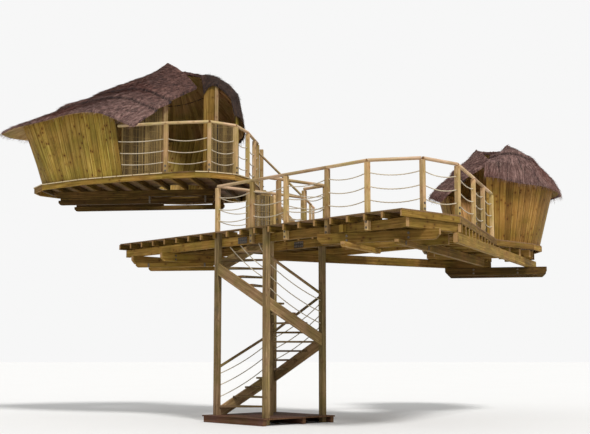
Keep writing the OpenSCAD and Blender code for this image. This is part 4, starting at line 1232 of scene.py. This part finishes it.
def makeReeds():
    growth, lines = fillGrowth(True), list(screenLines())
    for foot, head in lines:
        heights = [round((h - f).length, 2) for f, h in zip(foot, head)]
        print("reed screen:", round(runLength(foot), 2), "m wide,", heights, "m high")
    paths = pathMesh("reedTies", [run for line in lines for run in tieRuns(*line)])
    place("reedCords", grow(ropeGrowth(), paths, "reedCords", **cord), "reed", "reed")
    bm = bmesh.new()
    for number, (foot, head) in enumerate(lines):
        bm.from_mesh(fillBetween(growth, "reeds%d" % number, foot, head, reeds, number))
    joined = toMesh(bm, "reedScreens", reeds["smooth"])
    place("reedScreens", joined, "reed", "reed", "reed_screens")
    print("reed screens:", len(joined.polygons), "faces")


makeReeds()

# Bolts with washers on rail posts, clamps and plates; each clamp with its centre and its radius
bolts = {
    "head": 0.014, "washer": 0.026, "thick": 0.01, "postUp": (0.05, 0.16), "clampOut": 0.14, "clampUp": (-0.22, 0.22),
    "reach": 0.2, "columns": (-1, -0.5, 0, 0.5, 1), "rows": (-1, 1), "spread": (0.8, 0.5),
}
boltPosts = {"rail_posts": (1.2, 2.6), "upper_rail_posts": leftRoof["centre"]}
boltClamps = {
    "trunk_1_clamps": (leftRoof["centre"], 0.54), "upper_clamps": (leftRoof["centre"], 0.54),
    "trunk_2_clamps": ((2.71, 0.83), 0.5), "trunk_3_clamps": (endRoof["centre"], 0.4),
}


def boltGrowth():
    g = Growth("boltHeads", head="Float", washer="Float", thick="Float")
    geometry, head, washer, thick = g.inputs()
    kind = "GeometryNodeMeshCylinder"
    disc = g.add(kind, {}, {"Vertices": 14, "Radius": washer, "Depth": thick * 0.5})
    nut = g.add(kind, {}, {"Vertices": 6, "Radius": head, "Depth": thick * 2})
    lifted = g.add("GeometryNodeTransform", {}, {"Geometry": nut, "Translation": g.xyz(0, 0, thick)})
    both = g.gather("GeometryNodeJoinGeometry", {}, 0, disc, lifted)
    return g.end(g.copies(geometry, both, Rotation=g.facing(g.recall("way", "FLOAT_VECTOR"))), "bolts")


def solidsOf(node):
    bm = cadCopy(node)
    for group in islandsOf(bm):
        corners = cornersOf(group)
        yield group, corners, heartOf(group), min(c.z for c in corners), max(c.z for c in corners)
    bm.free()


def postSpots(node, x, y):
    for group, corners, heart, low, high in solidsOf(node):
        away = Vector((heart.x - x, heart.y - y, 0)).normalized()
        face = max(group, key=lambda item: item.normal.dot(away))
        at = face.calc_center_median()
        yield from ((Vector((at.x, at.y, low + up)), face.normal.copy()) for up in bolts["postUp"])


def clampSpots(node, x, y, radius):
    for group, corners, heart, low, high in solidsOf(node):
        axis = longest(edgesOf(group))
        if abs(axis.z) > 0.5 or max((c - heart).dot(axis) for c in corners) < radius + bolts["reach"]:
            continue
        hub = Vector((x, y, heart.z))
        side = (heart - hub) - axis * (heart - hub).dot(axis)
        face = max(group, key=lambda item: item.normal.dot(side.normalized()) * (item.calc_area() > 0.01))
        for along in (-1, 1):
            at = hub + axis * along * (radius + bolts["clampOut"])
            at -= face.normal * (at - face.calc_center_median()).dot(face.normal)
            yield from ((at + upright * (up * (high - low)), face.normal.copy()) for up in bolts["clampUp"])


def plateSpots(node):
    for group, *rest in solidsOf(node):
        face = max(group, key=lambda item: item.calc_area() - item.normal.y * 0.001)
        middle, across = face.calc_center_median(), upright.cross(face.normal).normalized()
        wide = max((v.co - middle).dot(across) for v in face.verts) * bolts["spread"][0]
        tall = (max(v.co.z for v in face.verts) - middle.z) * bolts["spread"][1]
        for i in bolts["columns"]:
            yield from ((middle + across * wide * i + upright * (tall * j), face.normal.copy()) for j in bolts["rows"])


def makeBolts():
    spots = [spot for node, centre in boltPosts.items() for spot in postSpots(node, *centre)]
    spots += [spot for node, (centre, radius) in boltClamps.items() for spot in clampSpots(node, *centre, radius)]
    spots += plateSpots("splice_plates")
    mesh = meshOf("boltSpots", [spot for spot, way in spots])
    pointVectors(mesh, "way", [way for spot, way in spots])
    place("boltHeads", grow(boltGrowth(), mesh, "boltHeads", **bolts), None, "steel")
    print("bolts:", len(spots))


makeBolts()

plates = frame["nodes"]["splice_plates"].data.materials
plates.clear()
plates.append(finishes["steel"])
